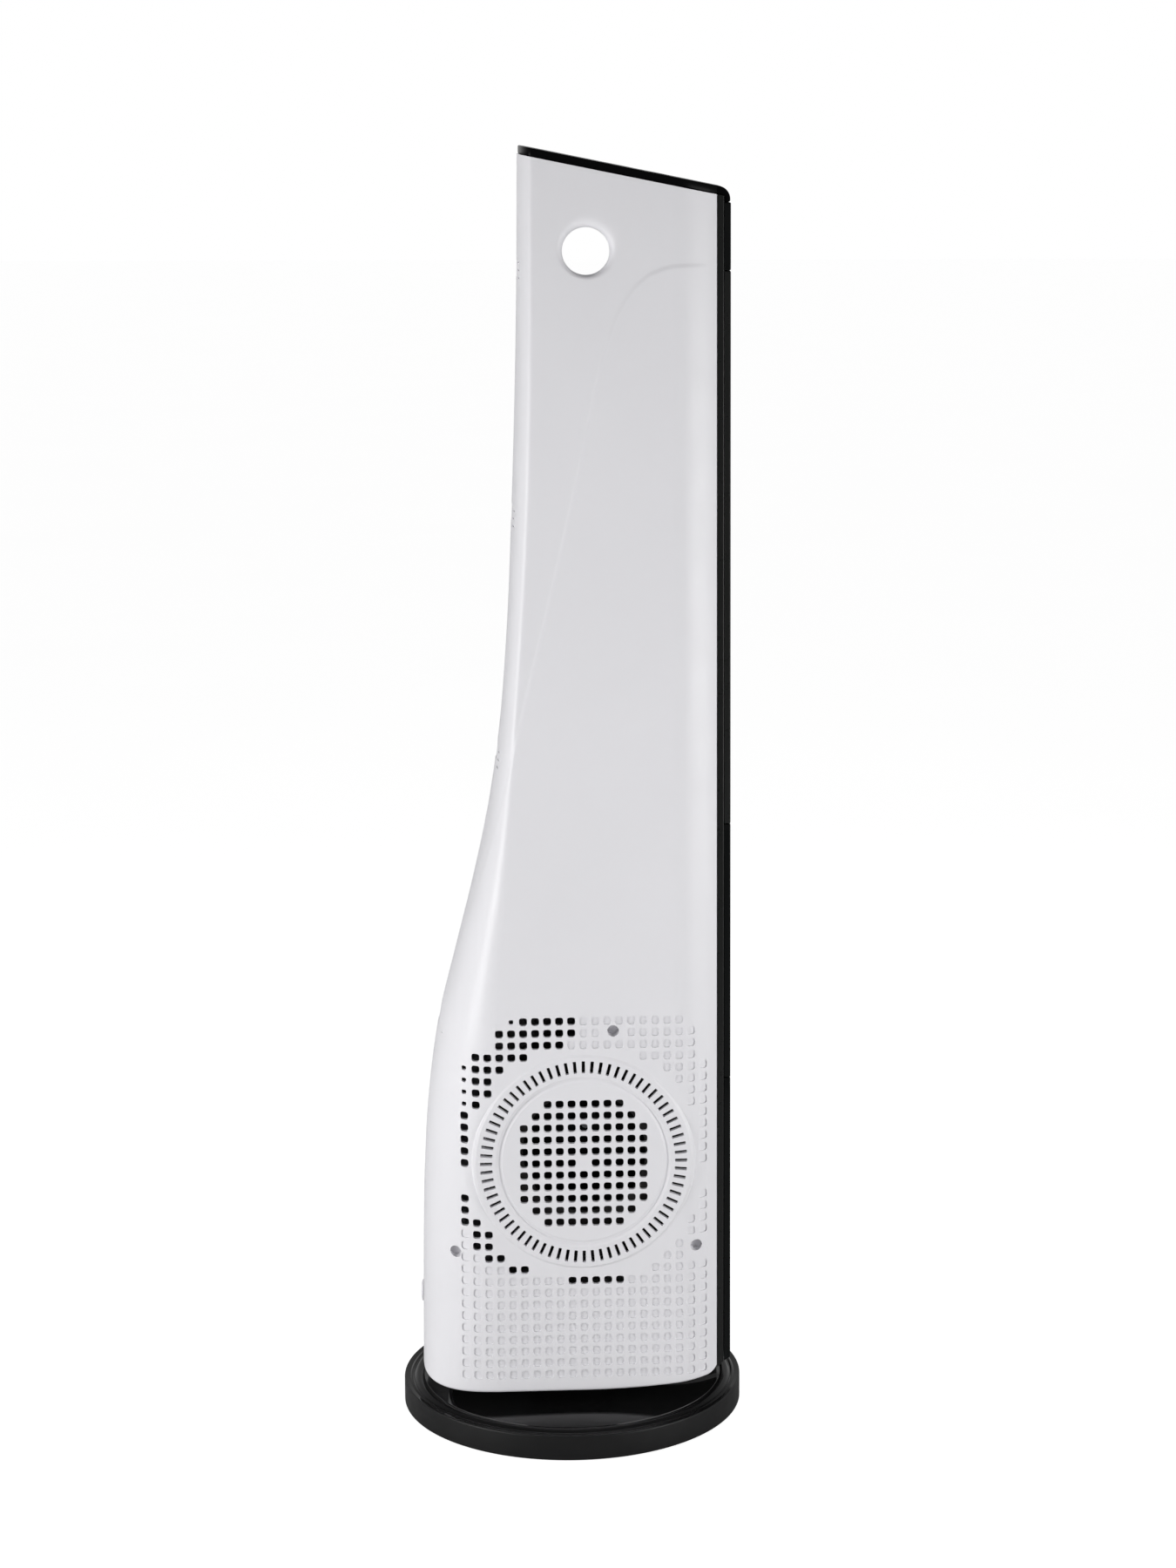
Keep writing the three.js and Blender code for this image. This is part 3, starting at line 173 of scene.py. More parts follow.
def combine(piece, operation, parts):
    # adds or cuts away closed solids
    tool = newObject("tool", parts)
    modifier = piece.modifiers.new(operation.lower(), "BOOLEAN")
    modifier.operation = operation
    modifier.solver = "MANIFOLD"
    modifier.object = tool
    applyModifiers(piece)
    mesh = tool.data
    bpy.data.objects.remove(tool)
    bpy.data.meshes.remove(mesh)


def finishPiece(piece, body, material, replaced=(), sharpAngle=30):
    # smooth shading up to the sharp angle, one material, and the body that the piece rides on
    piece.data.shade_smooth()
    piece.data.set_sharp_from_angle(angle=math.radians(sharpAngle))
    piece.data.materials.clear()
    piece.data.materials.append(material)
    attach(piece, body)
    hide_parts(*replaced)
    return piece


# ---- finishes

def addNode(tree, kind, **inputs):
    # a socket is linked to the input of that name, a value sets it, and the rest are properties of the node
    node = tree.nodes.new(kind)
    for name, value in inputs.items():
        if isinstance(value, bpy.types.NodeSocket):
            tree.links.new(value, node.inputs[name])
        elif name in node.inputs:
            node.inputs[name].default_value = value
        else:
            setattr(node, name, value)
    return node


def worked(tree, operation, first, second):
    # two sockets added, multiplied or compared
    node = addNode(tree, "ShaderNodeMath", operation=operation)
    tree.links.new(first, node.inputs[0])
    tree.links.new(second, node.inputs[1])
    return node.outputs[0]


def cover(tree, shader, tint, gloss, grain, strength, depth):
    # colour, gloss, and the grain as bump
    bump = addNode(tree, "ShaderNodeBump", Strength=strength, Distance=depth, Height=grain.outputs["Fac"])
    for name, socket in (("Base Color", tint), ("Roughness", gloss), ("Normal", bump.outputs["Normal"])):
        tree.links.new(socket, shader.inputs[name])


def newMaterial(name):
    # material with its node tree and its shader
    material = bpy.data.materials.new(name)
    material.use_nodes = True
    shader = material.node_tree.nodes["Principled BSDF"]
    return material, material.node_tree, shader


def noiseAt(tree, place, scale, detail=2.0, roughness=0.5):
    # noise in the piece's own space, so it turns with the piece
    return addNode(tree, "ShaderNodeTexNoise", Scale=scale, Detail=detail, Roughness=roughness,
                   Vector=place.outputs["Object"])


def ranged(tree, source, low, high, fromLow=0.3, fromHigh=0.7):
    # straight line that takes fromLow..fromHigh to low..high, held at both ends
    node = tree.nodes.new("ShaderNodeMapRange")
    for place, value in zip(("From Min", "From Max", "To Min", "To Max"), (fromLow, fromHigh, low, high)):
        node.inputs[place].default_value = value
    tree.links.new(source, node.inputs["Value"])
    return node.outputs["Result"]


def mixed(tree, factor, low, high):
    # colour from low to high by the factor
    node = tree.nodes.new("ShaderNodeMix")
    node.data_type = "RGBA"
    node.inputs["A"].default_value = (*low, 1)
    node.inputs["B"].default_value = (*high, 1)
    tree.links.new(factor, node.inputs["Factor"])
    return node.outputs["Result"]


def mouldedPlastic(name, look, polish=None):
    # cloudy colour and gloss over the whole piece, with the fine grain of the mould as bump
    material, tree, shader = newMaterial(name)
    place = tree.nodes.new("ShaderNodeTexCoord")
    cloud = noiseAt(tree, place, look["cloudScale"], 3)
    colour = np.array(look["colour"])
    low, high = colour * (1 - look["cloud"]), colour * (1 + look["cloud"])
    tint = mixed(tree, ranged(tree, cloud.outputs["Fac"], 0, 1), low, high)
    smudge = noiseAt(tree, place, look["cloudScale"] * 5, 4, 0.6)
    middle, spread = look["roughness"], look["spread"]
    gloss = ranged(tree, smudge.outputs["Fac"], middle - spread, middle + spread)
    if polish:
        amount, centre = polish(tree, place)
        rim, plate = look["rimSpecular"], look["plateSpecular"]
        shine = worked(tree, "ADD", ranged(tree, amount, look["specular"], rim, 0, 1),
                       ranged(tree, centre, 0, plate - rim, 0, 1))
        tree.links.new(shine, shader.inputs["Specular IOR Level"])
        gloss = worked(tree, "MULTIPLY", gloss, ranged(tree, amount, 1, look["polished"], 0, 1))
    grain = noiseAt(tree, place, look["grainScale"], 2)
    cover(tree, shader, tint, gloss, grain, look["bump"], look.get("depth", 0.00005))
    if not polish:
        shader.inputs["Specular IOR Level"].default_value = look.get("specular", 0.5)
    shader.inputs["Coat Weight"].default_value = look.get("coat", 0)
    shader.inputs["Coat Roughness"].default_value = look.get("coatRoughness", 0.03)
    shader.inputs["Subsurface Weight"].default_value = look.get("glow", 0)
    shader.inputs["Subsurface Radius"].default_value = (glowReach,) * 3
    return material


metalShared = {"cloudScale": 60, "dark": 0.88, "light": 1.08, "smoother": 0.07, "rougher": 0.1,
               "bump": 0.2, "depth": 0.00003}


def metalFinish(name, look):
    # streaks drawn out along one axis change the gloss, with a cloudy colour below them
    m = metalShared
    material, tree, shader = newMaterial(name)
    place = tree.nodes.new("ShaderNodeTexCoord")
    stretch = addNode(tree, "ShaderNodeMapping", Scale=look["stretch"], Vector=place.outputs["Object"])
    streaks = addNode(tree, "ShaderNodeTexNoise", Scale=look["scale"], Detail=4.0,
                      Vector=stretch.outputs["Vector"])
    colour = np.array(look["colour"])
    cloud = noiseAt(tree, place, m["cloudScale"], 3)
    low, high = colour * m["dark"], np.minimum(colour * m["light"], 1)
    tint = mixed(tree, ranged(tree, cloud.outputs["Fac"], 0, 1), low, high)
    smooth, rough = look["roughness"] - m["smoother"], look["roughness"] + m["rougher"]
    gloss = ranged(tree, streaks.outputs["Fac"], smooth, rough)
    cover(tree, shader, tint, gloss, streaks, m["bump"], m["depth"])
    shader.inputs["Metallic"].default_value = 1
    return material


shellLook = {"colour": (0.78, 0.775, 0.80), "cloud": 0.012, "cloudScale": 9, "roughness": 0.4,
             "spread": 0.04, "grainScale": 2600, "bump": 0.06, "specular": 0.45, "glow": 0.2}
capLook = {"colour": (0.003, 0.003, 0.0032), "cloud": 0.1, "cloudScale": 14, "roughness": 0.24,
           "spread": 0.03, "grainScale": 900, "bump": 0.015, "specular": 0.04}
satinLook = {"colour": (0.007, 0.007, 0.0073), "cloud": 0.1, "cloudScale": 22, "roughness": 0.42,
             "spread": 0.05, "grainScale": 2400, "bump": 0.06, "specular": 0.25,
             "polished": 0.2, "rimSpecular": 0.16, "plateSpecular": 0.6}
panelLook = {"colour": (0.005, 0.0055, 0.0055), "cloud": 0.1, "cloudScale": 14, "roughness": 0.12,
             "spread": 0.03, "grainScale": 900, "bump": 0.015, "specular": 0.13}
frameLook = {"colour": (0.009, 0.0095, 0.009), "cloud": 0.1, "cloudScale": 22, "roughness": 0.3,
             "spread": 0.05, "grainScale": 2400, "bump": 0.08, "specular": 0.3}
insideLook = {"colour": (0.05, 0.047, 0.044), "cloud": 0.15, "cloudScale": 40, "roughness": 0.35,
              "spread": 0.08, "grainScale": 1800, "bump": 0.12}
buttonLook = {"colour": (0.02, 0.02, 0.022), "cloud": 0.1, "cloudScale": 60, "roughness": 0.26,
              "spread": 0.04, "grainScale": 2200, "bump": 0.06}
rubberLook = {"colour": (0.018, 0.018, 0.018), "cloud": 0.2, "cloudScale": 120, "roughness": 0.8,
              "spread": 0.08, "grainScale": 1600, "bump": 0.3}
bearingLook = {"colour": (0.68, 0.66, 0.6), "cloud": 0.03, "cloudScale": 60, "roughness": 0.42,
               "spread": 0.06, "grainScale": 1800, "bump": 0.08, "glow": 0.1}
heatLook = {"colour": (0.05, 0.04, 0.032), "cloud": 0.12, "cloudScale": 40, "roughness": 0.55,
            "spread": 0.08, "grainScale": 1500, "bump": 0.15}
ceramicLook = {"colour": (0.55, 0.51, 0.44), "cloud": 0.08, "cloudScale": 90, "roughness": 0.75,
               "spread": 0.1, "grainScale": 1200, "bump": 0.3}
boardLook = {"colour": (0.03, 0.16, 0.06), "cloud": 0.15, "cloudScale": 70, "roughness": 0.4,
             "spread": 0.08, "grainScale": 700, "bump": 0.1}
steelLook = {"colour": (0.62, 0.63, 0.64), "roughness": 0.34, "scale": 260, "stretch": (1, 12, 1)}
motorLook = {"colour": (0.5, 0.51, 0.52), "roughness": 0.4, "scale": 200, "stretch": (1, 1, 10)}

shellPlastic = mouldedPlastic("shellPlastic", shellLook)
capGloss = mouldedPlastic("capGloss", capLook)
baseSatin = mouldedPlastic("baseSatin", satinLook)
frameSatin = mouldedPlastic("frameSatin", frameLook)
insideBlack = mouldedPlastic("insideBlack", insideLook)
buttonPlastic = mouldedPlastic("buttonPlastic", buttonLook)
footRubber = mouldedPlastic("footRubber", rubberLook)
bearingPlastic = mouldedPlastic("bearingPlastic", bearingLook)
heatPlastic = mouldedPlastic("heatPlastic", heatLook)
elementCeramic = mouldedPlastic("elementCeramic", ceramicLook)
boardMask = mouldedPlastic("boardMask", boardLook)
plateSteel = metalFinish("plateSteel", steelLook)
motorSteel = metalFinish("motorSteel", motorLook)
print("finishes made")

# ---- tower outline

shellLow, shellHigh = cadBox("right_shell")
capLow, capHigh = cadBox("top_cap")
towerShape = {
    "frontX": shellHigh[0], "bottomZ": shellLow[2], "loftTopZ": capHigh[2] + 12,
    "wall": 2.4, "seamGap": 0.15, "edgeRound": 1.8, "edgeDraw": 0.85,
    "widestX": -40, "lowHalfWidth": 63, "highHalfWidth": 55, "sideLean": 0.06,
    "shoulderX": 58, "shoulderDrop": 9.7, "rearPower": 2.25, "lowSquare": 0.6, "squareTop": 75,
    # depth of the rear edge at a height
    "rear": [(26, -83.9), (90, -83.7), (140, -82.4), (182, -79.6), (226, -73.2), (262, -64.3), (307, -53),
             (345, -44.9), (385, -38.9), (440, -34.1), (508, -30.8), (600, -27.8), (720, -26.1)],
    # depth where the flat side ends and the rounding to the rear starts
    "corner": [(26, -40), (180, -40), (226, -39.8), (270, -37), (310, -33), (376, -28), (508, -19),
               (720, -15.6)],
    "riseX": 10, "rise": 3.9, "riseReach": 60, "riseHeight": 26, "noseX": 76, "noseRadius": 6,
    # from, to and number of the outer rows above the rounded edge, close together at the form line's bend
    "rows": [(30, 604, 206), (605, 650, 60)], "topRowsFrom": 653, "topRows": 24, "innerRows": 44,
    # columns of the outer and the inner surface: front, to the line, across it, to the rounding, round it
    "outerCounts": (14, 30, 9, 12, 44), "innerCounts": (6, 5, 3, 3, 14),
}
creaseShape = {
    # form line on the sides: the front of the side stands a little proud of the rest
    "line": [(92, 644.6), (70.4, 644.5), (60.8, 644.3), (53, 642.8), (45.2, 639.6), (37.4, 632.9),
             (31.9, 625.4), (26.8, 615.6), (23.1, 605), (18.9, 591.5), (13.7, 567), (7.8, 538), (1.4, 509.5),
             (-5.7, 478.6), (-13.3, 447.2), (-19.1, 423.2), (-25.4, 396.7), (-31.2, 371), (-38.5, 343),
             (-49.6, 305.6), (-62, 268)],
    "steps": 161, "smoothing": 3, "height": 0.5, "width": 2.2, "fadeFrom": 82, "fadeTo": 58,
    # columns are close together this far to both sides of the line; above its bend they run on upwards
    "bandHalf": 2.6, "bandClear": 5, "bandTopZ": 612, "bandTopX": 25.6, "bandTopReach": 7, "bandTopFade": 20,
}


def smoothCurve(knots, at):
    # cubic pieces through the knots, with the slope at each knot taken from its neighbours
    knots = np.array(knots, float)
    z, x = knots[:, 0], knots[:, 1]
    slope = np.gradient(x, z)
    at = np.clip(at, z[0], z[-1])
    i = np.clip(np.searchsorted(z, at) - 1, 0, len(z) - 2)
    span = z[i + 1] - z[i]
    t = (at - z[i]) / span
    return ((2 * t**3 - 3 * t**2 + 1) * x[i] + (t**3 - 2 * t**2 + t) * span * slope[i]
            + (3 * t**2 - 2 * t**3) * x[i + 1] + (t**3 - t**2) * span * slope[i + 1])


def rearX(z):
    # depth of the tower's rear edge
    return smoothCurve(towerShape["rear"], z)


def cornerX(z):
    # depth where the rounding to the rear starts
    return smoothCurve(towerShape["corner"], z)


def rearPower(z):
    # the rounding to the rear is squarer near the lower end
    s = towerShape
    share = np.clip((s["squareTop"] - z) / (s["squareTop"] - s["bottomZ"]), 0, 1)
    return s["rearPower"] + s["lowSquare"] * share


def flatY(x, z):
    # half width of the side's plain flat face
    s = towerShape
    rise = (z - s["bottomZ"]) / (s["loftTopZ"] - s["bottomZ"])
    narrowing = (s["highHalfWidth"] - s["lowHalfWidth"]) * rise
    return s["lowHalfWidth"] + narrowing - s["sideLean"] * (x - s["widestX"])


def halfWidth(x, z):
    # the flat face, rounded in towards the front edge
    s = towerShape
    share = np.clip((x - s["shoulderX"]) / (s["frontX"] - s["shoulderX"]), 0, 1)
    return flatY(x, z) - s["shoulderDrop"] * share**2


def creaseLift(x, z):
    # how far the surface stands out near the form line: a smooth step across the signed distance from it
    line = np.array(creaseShape["line"], float)
    at = np.linspace(0, len(line) - 1, creaseShape["steps"])
    fine = np.stack([np.interp(at, np.arange(len(line)), line[:, k]) for k in (0, 1)], -1)
    for _ in range(creaseShape["smoothing"]):
        fine[1:-1] = (fine[:-2] + 2 * fine[1:-1] + fine[2:]) / 4
    start, side = fine[:-1], np.diff(fine, axis=0)
    place = np.stack([x, z], -1).reshape(-1, 1, 2) - start
    share = np.clip((place * side).sum(-1) / (side**2).sum(-1), 0, 1)
    away = place - share[..., None] * side
    distance = np.linalg.norm(away, axis=-1)
    nearest = distance.argmin(1)
    pick = np.arange(len(nearest))
    turn = side[nearest, 0] * place[pick, nearest, 1] - side[nearest, 1] * place[pick, nearest, 0]
    signed = (distance[pick, nearest] * np.sign(turn)).reshape(np.shape(x))
    t = np.clip(signed / creaseShape["width"] + 0.5, 0, 1)
    fade = np.clip((creaseShape["fadeFrom"] - x) / (creaseShape["fadeFrom"] - creaseShape["fadeTo"]), 0, 1)
    fade = fade * fade * (3 - 2 * fade)
    return creaseShape["height"] * (t * t * (3 - 2 * t) - 1) * fade


def sideY(x, z):
    # outer half width of the tower at any depth, with the rounding to the rear and the form line
    start, power = cornerX(z), rearPower(z)
    t = np.clip((start - x) / (start - rearX(z)), 0, 0.9999)
    base = np.where(x < start, halfWidth(start, z) * (1 - t**power) ** (1 / power), halfWidth(x, z))
    return base + creaseLift(x, z)


def shellGrid(z, inset, counts, lift):
    # rows follow the height z; columns run from the front edge round to the rear seam at -Y
    s, c = towerShape, creaseShape
    front, middle, band, back, rear = counts
    z = z[:, None]
    start, deep = cornerX(z), rearX(z)
    lineX = np.interp(z, [point[1] for point in c["line"][::-1]], [point[0] for point in c["line"][::-1]])
    onward = 1 - np.exp(-np.maximum(z - c["bandTopZ"], 0) / c["bandTopFade"])
    lineX = np.where(z > c["bandTopZ"], c["bandTopX"] + c["bandTopReach"] * onward, lineX)
    lineX = np.maximum(lineX, start + c["bandClear"])

    def between(low, high, count, last=False):
        return low + (high - low) * np.linspace(0, 1, count, endpoint=last)[None]

    half = c["bandHalf"]
    share = np.linspace(0, 1, front, endpoint=False)[None] ** 2
    x = np.hstack([
        s["frontX"] - (s["frontX"] - s["shoulderX"]) * share + 0 * z,
        between(s["shoulderX"] + 0 * z, lineX + half, middle),
        between(lineX + half, lineX - half, band),
        between(lineX - half, start, back, True),
    ])
    y = halfWidth(x, z) - inset
    depth, width, power = start - deep - inset, halfWidth(start, z) - inset, rearPower(z)
    # columns of the rounding lie between even steps of angle and even steps along it
    phi = np.linspace(0, np.pi / 2, rear + 1)[None, 1:-1]
    even = np.arctan((np.tan(phi) * depth / width) ** (power / (2 * (power - 1))))
    angle = np.hstack([0.6 * even + 0.4 * phi, np.full_like(start, np.pi / 2)])
    rearPartX = start - depth * np.sin(angle) ** (2 / power)
    rearPartY = np.maximum(width * np.abs(np.cos(angle)) ** (2 / power), s["seamGap"])
    x, y = np.hstack([x, rearPartX]), np.hstack([y, rearPartY])
    height = z + 0 * x
    if lift:
        alongX, alongY = np.gradient(x, axis=1), np.gradient(y, axis=1)
        length = np.hypot(alongX, alongY) + 1e-9
        amount = creaseLift(x, height)
        x, y = x + alongY / length * amount * (y > 1), y - alongX / length * amount
        low = np.clip((s["bottomZ"] + s["edgeRound"] - height) / s["edgeRound"], 0, 1)
        drawn = s["edgeRound"] * (1 - np.sqrt(np.maximum(1 - low**2, 0))) * s["edgeDraw"]
        y = np.maximum(y - drawn, s["seamGap"])
        x = x + drawn * np.clip((start - x) / depth, 0, 1)
    reach = np.clip((x - s["riseX"]) / s["riseReach"], 0, 2)
    nose = np.clip(x - s["noseX"], 0, s["noseRadius"] * 0.96)
    climb = s["rise"] * reach**2 + s["noseRadius"] - np.sqrt(s["noseRadius"] ** 2 - nose**2)
    height = height + climb * np.clip(1 - (height - s["bottomZ"]) / s["riseHeight"], 0, 1) ** 2
    return np.stack([x, -y, height], -1)


def strip(outer, inner):
    # triangles between two borders with different numbers of points, matched by their share of the way
    a, b = np.linspace(0, 1, len(outer)), np.linspace(0, 1, len(inner))
    midA, midB = (a[:-1] + a[1:]) / 2, (b[:-1] + b[1:]) / 2
    j = np.searchsorted(midB, midA)
    i = np.searchsorted(midA, midB, side="right")
    first = np.stack([outer[:-1], outer[1:], inner[j]], -1)
    second = np.stack([inner[1:], inner[:-1], outer[i]], -1)
    return np.concatenate([first, second])


def shellBody():
    # fine outer surface, coarser inner surface and flat rims between their borders
    s = towerShape
    bottom = s["bottomZ"]
    edgeRows = bottom + s["edgeRound"] * (1 - np.cos(np.linspace(0, np.pi / 2, 6)))
    topRows = np.linspace(s["topRowsFrom"], s["loftTopZ"], s["topRows"])
    rows = np.concatenate([edgeRows] + [np.linspace(*span) for span in s["rows"]] + [topRows])
    outer = shellGrid(rows, 0, s["outerCounts"], True)
    innerRows = np.linspace(bottom, s["loftTopZ"], s["innerRows"])
    inner = shellGrid(innerRows, s["wall"], s["innerCounts"], False)
    outerPoints, outerQuads = gridPart(outer)
    innerPoints, innerQuads = gridPart(inner)
    innerQuads = innerQuads[:, ::-1] + len(outerPoints)
    outerIndex = np.arange(len(outerPoints)).reshape(outer.shape[:2])
    innerIndex = np.arange(len(innerPoints)).reshape(inner.shape[:2]) + len(outerPoints)
    rims = np.concatenate([
        strip(outerIndex[0], innerIndex[0]), strip(outerIndex[-1], innerIndex[-1])[:, ::-1],
        strip(outerIndex[:, 0], innerIndex[:, 0])[:, ::-1], strip(outerIndex[:, -1], innerIndex[:, -1]),
    ])
    return np.concatenate([outerPoints, innerPoints]), np.concatenate([outerQuads, innerQuads]), rims


# ---- shells

holeShape = {"x": 10.3, "z": 649.8, "seamRadius": 13.9, "throatDepth": 6, "tubeRadius": 18.2,
             "tubeShort": 1.2, "bend": 84, "bendSteps": 14, "steepness": 1.4, "rim": 1.1, "around": 96}
# centre and radius of the narrowest ring and of the wide mouth, on the near side and on the far side
nearHole = {"throat": (11.7, 652.0), "throatRadius": 12.6, "mouth": (13.3, 654.2), "mouthRadius": 17.9}
farHole = {"throat": (10.3, 649.8), "throatRadius": 15.8, "mouth": (12.2, 651.7), "mouthRadius": 18.6}
intakeShape = {
    "x": 8.4, "z": 155.5, "ringZ": 156.2, "pitch": 6.53, "rowPitch": 6.64,
    "hole": 4.4, "smallHole": 2.5, "corner": 1.15, "cornerPull": 1.35, "blindDepth": 0.75,
    # cutters start this far outside the wall and end this far inside it
    "outside": 4, "through": 8, "slotThrough": 9, "slotCorner": 0.35, "ventHalf": 3,
    "slotCount": 72, "slotInner": 50, "slotOuter": 56.7, "slotWidth": 1.8,
    "discRadius": 44.4, "ringInner": 46.6, "ringTopInner": 47.9, "ringTopOuter": 58.9, "ringOuter": 60.4,
    "ringHeight": 0.55, "ringFoot": 0.15, "grooveDepth": 0.5, "grooveFloor": 0.8, "grooveEdge": 0.1,
    # rows of squares as row, first column, last column, counted from the ring's centre
    "inner": ([(5, -3, 3), (4, -4, 4)] + [(row, -5, 5) for row in (-3, -2, -1, 1, 2, 3)]
              + [(0, -5, -1), (0, 1, 5), (-4, -4, 4), (-5, -3, 3)]),
    "open": ([(12, -5, -1), (11, -7, -1), (10, -7, -2), (9, -9, -5), (8, -9, -7), (7, -9, -8), (6, -9, -8),
              (5, -9, -9)] + [(row, -10, -10) for row in (4, 3, 2, 1, 0, -3, -4)]
             + [(-5, -10, -9), (-6, -9, -8), (-7, -9, -8), (-8, -8, -7), (-9, -6, -5), (-10, -1, 3)]),
    "small": [(12, -6, -6), (8, -10, -10), (7, -10, -10), (6, -10, -10), (5, -10, -10)],
    "blind": ([(12, 0, 8), (11, 0, 1), (11, 4, 9), (10, -1, 9), (9, 5, 9), (8, 7, 10), (7, 8, 10), (6, 9, 10),
               (5, 9, 10)] + [(row, 10, 10) for row in (4, 3, 2, 1, 0, -3, -4)]
              + [(-5, 9, 10), (-6, 9, 10), (-7, 8, 8), (-8, 7, 8), (-9, 6, 10), (-10, 4, 10), (-6, -10, -10),
                 (-7, -10, -10), (-8, -10, -9), (-9, -10, -7), (-10, -10, -2)]
              + [(row, -10, 10) for row in range(-18, -10)]),
}
screwShape = {"spots": [(24.7, 229.4), (-62.3, 104.5), (70, 106.9)], "radius": 3.2, "floorY": 14,
              "bossRadius": 5.2, "plugDepth": 6, "plugMargin": 0.4, "plugThickness": 1.5}
notchShape = {"heights": [641.7, 508.2, 375.8, 226.2], "halfHeight": 4.8, "halfWidth": 11, "depth": 0.9,
              "ribPitch": 4.2, "ribHalf": 0.45, "ribWidth": 36, "ribIn": 3.4, "ribBefore": 3, "ribAfter": 5,
              "outside": 9}


def squareCutters(rows, size, near, far):
    # prisms with rounded corners that go from "near" outside the wall's surface to "far" inside it
    s = intakeShape
    cells = np.array([(c, row) for row, first, last in rows for c in range(first, last + 1)], float)
    half = size / 2
    corner = s["corner"] * size / s["hole"]
    square = [(-half, -half), (half, -half), (half, half), (-half, half)]
    ring = roundCorners(square, corner * s["cornerPull"], 5)
    x = s["x"] + cells[:, :1] * s["pitch"] + ring[None, :, 0]
    z = s["z"] + cells[:, 1:] * s["rowPitch"] + ring[None, :, 1]
    y = sideY(x, z)
    levels = [np.stack([x, -(y + near), z], -1), np.stack([x, -(y - far), z], -1)]
    return tubeParts(np.stack(levels, 1))


def ringPart(profile):
    # closed outline of radius and height above the flat face, carried round the intake's centre
    s = intakeShape
    profile = np.array(profile, float)
    angle = np.linspace(0, 2 * np.pi, 180, endpoint=False)[:, None]
    x = s["x"] + profile[None, :, 0] * np.cos(angle)
    z = s["ringZ"] + profile[None, :, 0] * np.sin(angle)
    return gridPart(np.stack([x, -(flatY(x, z) + profile[None, :, 1]), z], -1), True, True)


def slotCutters():
    # slots along the radius, set out evenly round the ring
    s = intakeShape
    half = s["slotWidth"] / 2
    box = roundCorners([(s["slotInner"], -half), (s["slotOuter"], -half), (s["slotOuter"], half),
                        (s["slotInner"], half)], s["slotCorner"], 3)
    turn = (np.arange(s["slotCount"]) * 2 * np.pi / s["slotCount"])[:, None]
    x = s["x"] + box[None, :, 0] * np.cos(turn) - box[None, :, 1] * np.sin(turn)
    z = s["ringZ"] + box[None, :, 0] * np.sin(turn) + box[None, :, 1] * np.cos(turn)
    y = flatY(x, z)
    levels = [np.stack([x, -(y + s["outside"]), z], -1), np.stack([x, -(y - s["slotThrough"]), z], -1)]
    return tubeParts(np.stack(levels, 1))


def holeCutter(side):
    # bore from the seam to its throat, then a curve out to the wide mouth, steep at first and then flat
    s = holeShape
    bend = np.linspace(0, math.radians(s["bend"]), s["bendSteps"])
    out = 1 - np.cos(bend)
    centre, throat, mouth = np.array([s["x"], s["z"]]), np.array(side["throat"]), np.array(side["mouth"])
    widening = side["mouthRadius"] - side["throatRadius"]
    levels = [(s["seamRadius"], centre, None, 2), (s["seamRadius"], centre, None, 0)]
    levels += [(side["throatRadius"] + widening * o, throat + (mouth - throat) * o,
                s["throatDepth"] * (1 - math.sin(b)) ** s["steepness"], 0) for o, b in zip(out, bend)]
    last = side["throatRadius"] + widening * out[-1]
    levels += [(last + s["rim"], mouth, -1.2, 0), (last + s["rim"], mouth, -9, 0)]
    angle = np.linspace(0, 2 * np.pi, s["around"], endpoint=False)
    rings = []
    for radius, middle, depth, seam in levels:
        x = middle[0] + radius * np.cos(angle)
        z = middle[1] + radius * np.sin(angle)
        y = seam + 0 * x if depth is None else -(sideY(x, z) - depth)
        rings.append(np.stack([x, y, z], -1))
    return tubeParts(np.stack(rings)[None])


def roundCutters(spots, radius, lowY, highY, steps=40):
    # cylinders along Y; without a low end they start 1 mm under the wall's surface
    angle = np.linspace(0, 2 * np.pi, steps, endpoint=False)[None]
    spots = np.array(spots, float)
    x, z = spots[:, :1] + radius * np.cos(angle), spots[:, 1:] + radius * np.sin(angle)
    start = 0 * x + lowY if lowY is not None else 1 - sideY(x, z)
    return tubeParts(np.stack([np.stack([x, y, z], -1) for y in (start, 0 * x + highY)], 1))


def boxCutters(lows, highs):
    # one upright box for each pair of corners
    lows, highs = np.array(lows, float), np.array(highs, float)
    pick = np.array([(0, 0), (1, 0), (1, 1), (0, 1)])
    both = np.stack([lows, highs], 1)
    x, y = both[:, pick[:, 0], 0], both[:, pick[:, 1], 1]
    return tubeParts(np.stack([np.stack([x, y, 0 * x + both[:, k, None, 2]], -1) for k in (0, 1)], 1))


def capPlaneZ(x, drop):
    # height at a depth of the plane that lies "drop" under the cap's sloping top
    tilt = math.radians(capShape["slope"])
    return capHigh[2] - math.tan(tilt) * (x - capShape["rearX"]) - drop / math.cos(tilt)


def aboveCapCutter():
    # block with a sloping foot: all that lies above the cap's underside
    reach, top = 160, 900
    drop = capShape["thickness"] + capShape["gap"]
    ring = np.array([(-reach, -reach, capPlaneZ(-reach, drop)), (reach, -reach, capPlaneZ(reach, drop)),
                     (reach, -reach, top), (-reach, -reach, top)], float)
    return tubeParts(np.stack([ring, ring * (1, -1, 1)])[None])


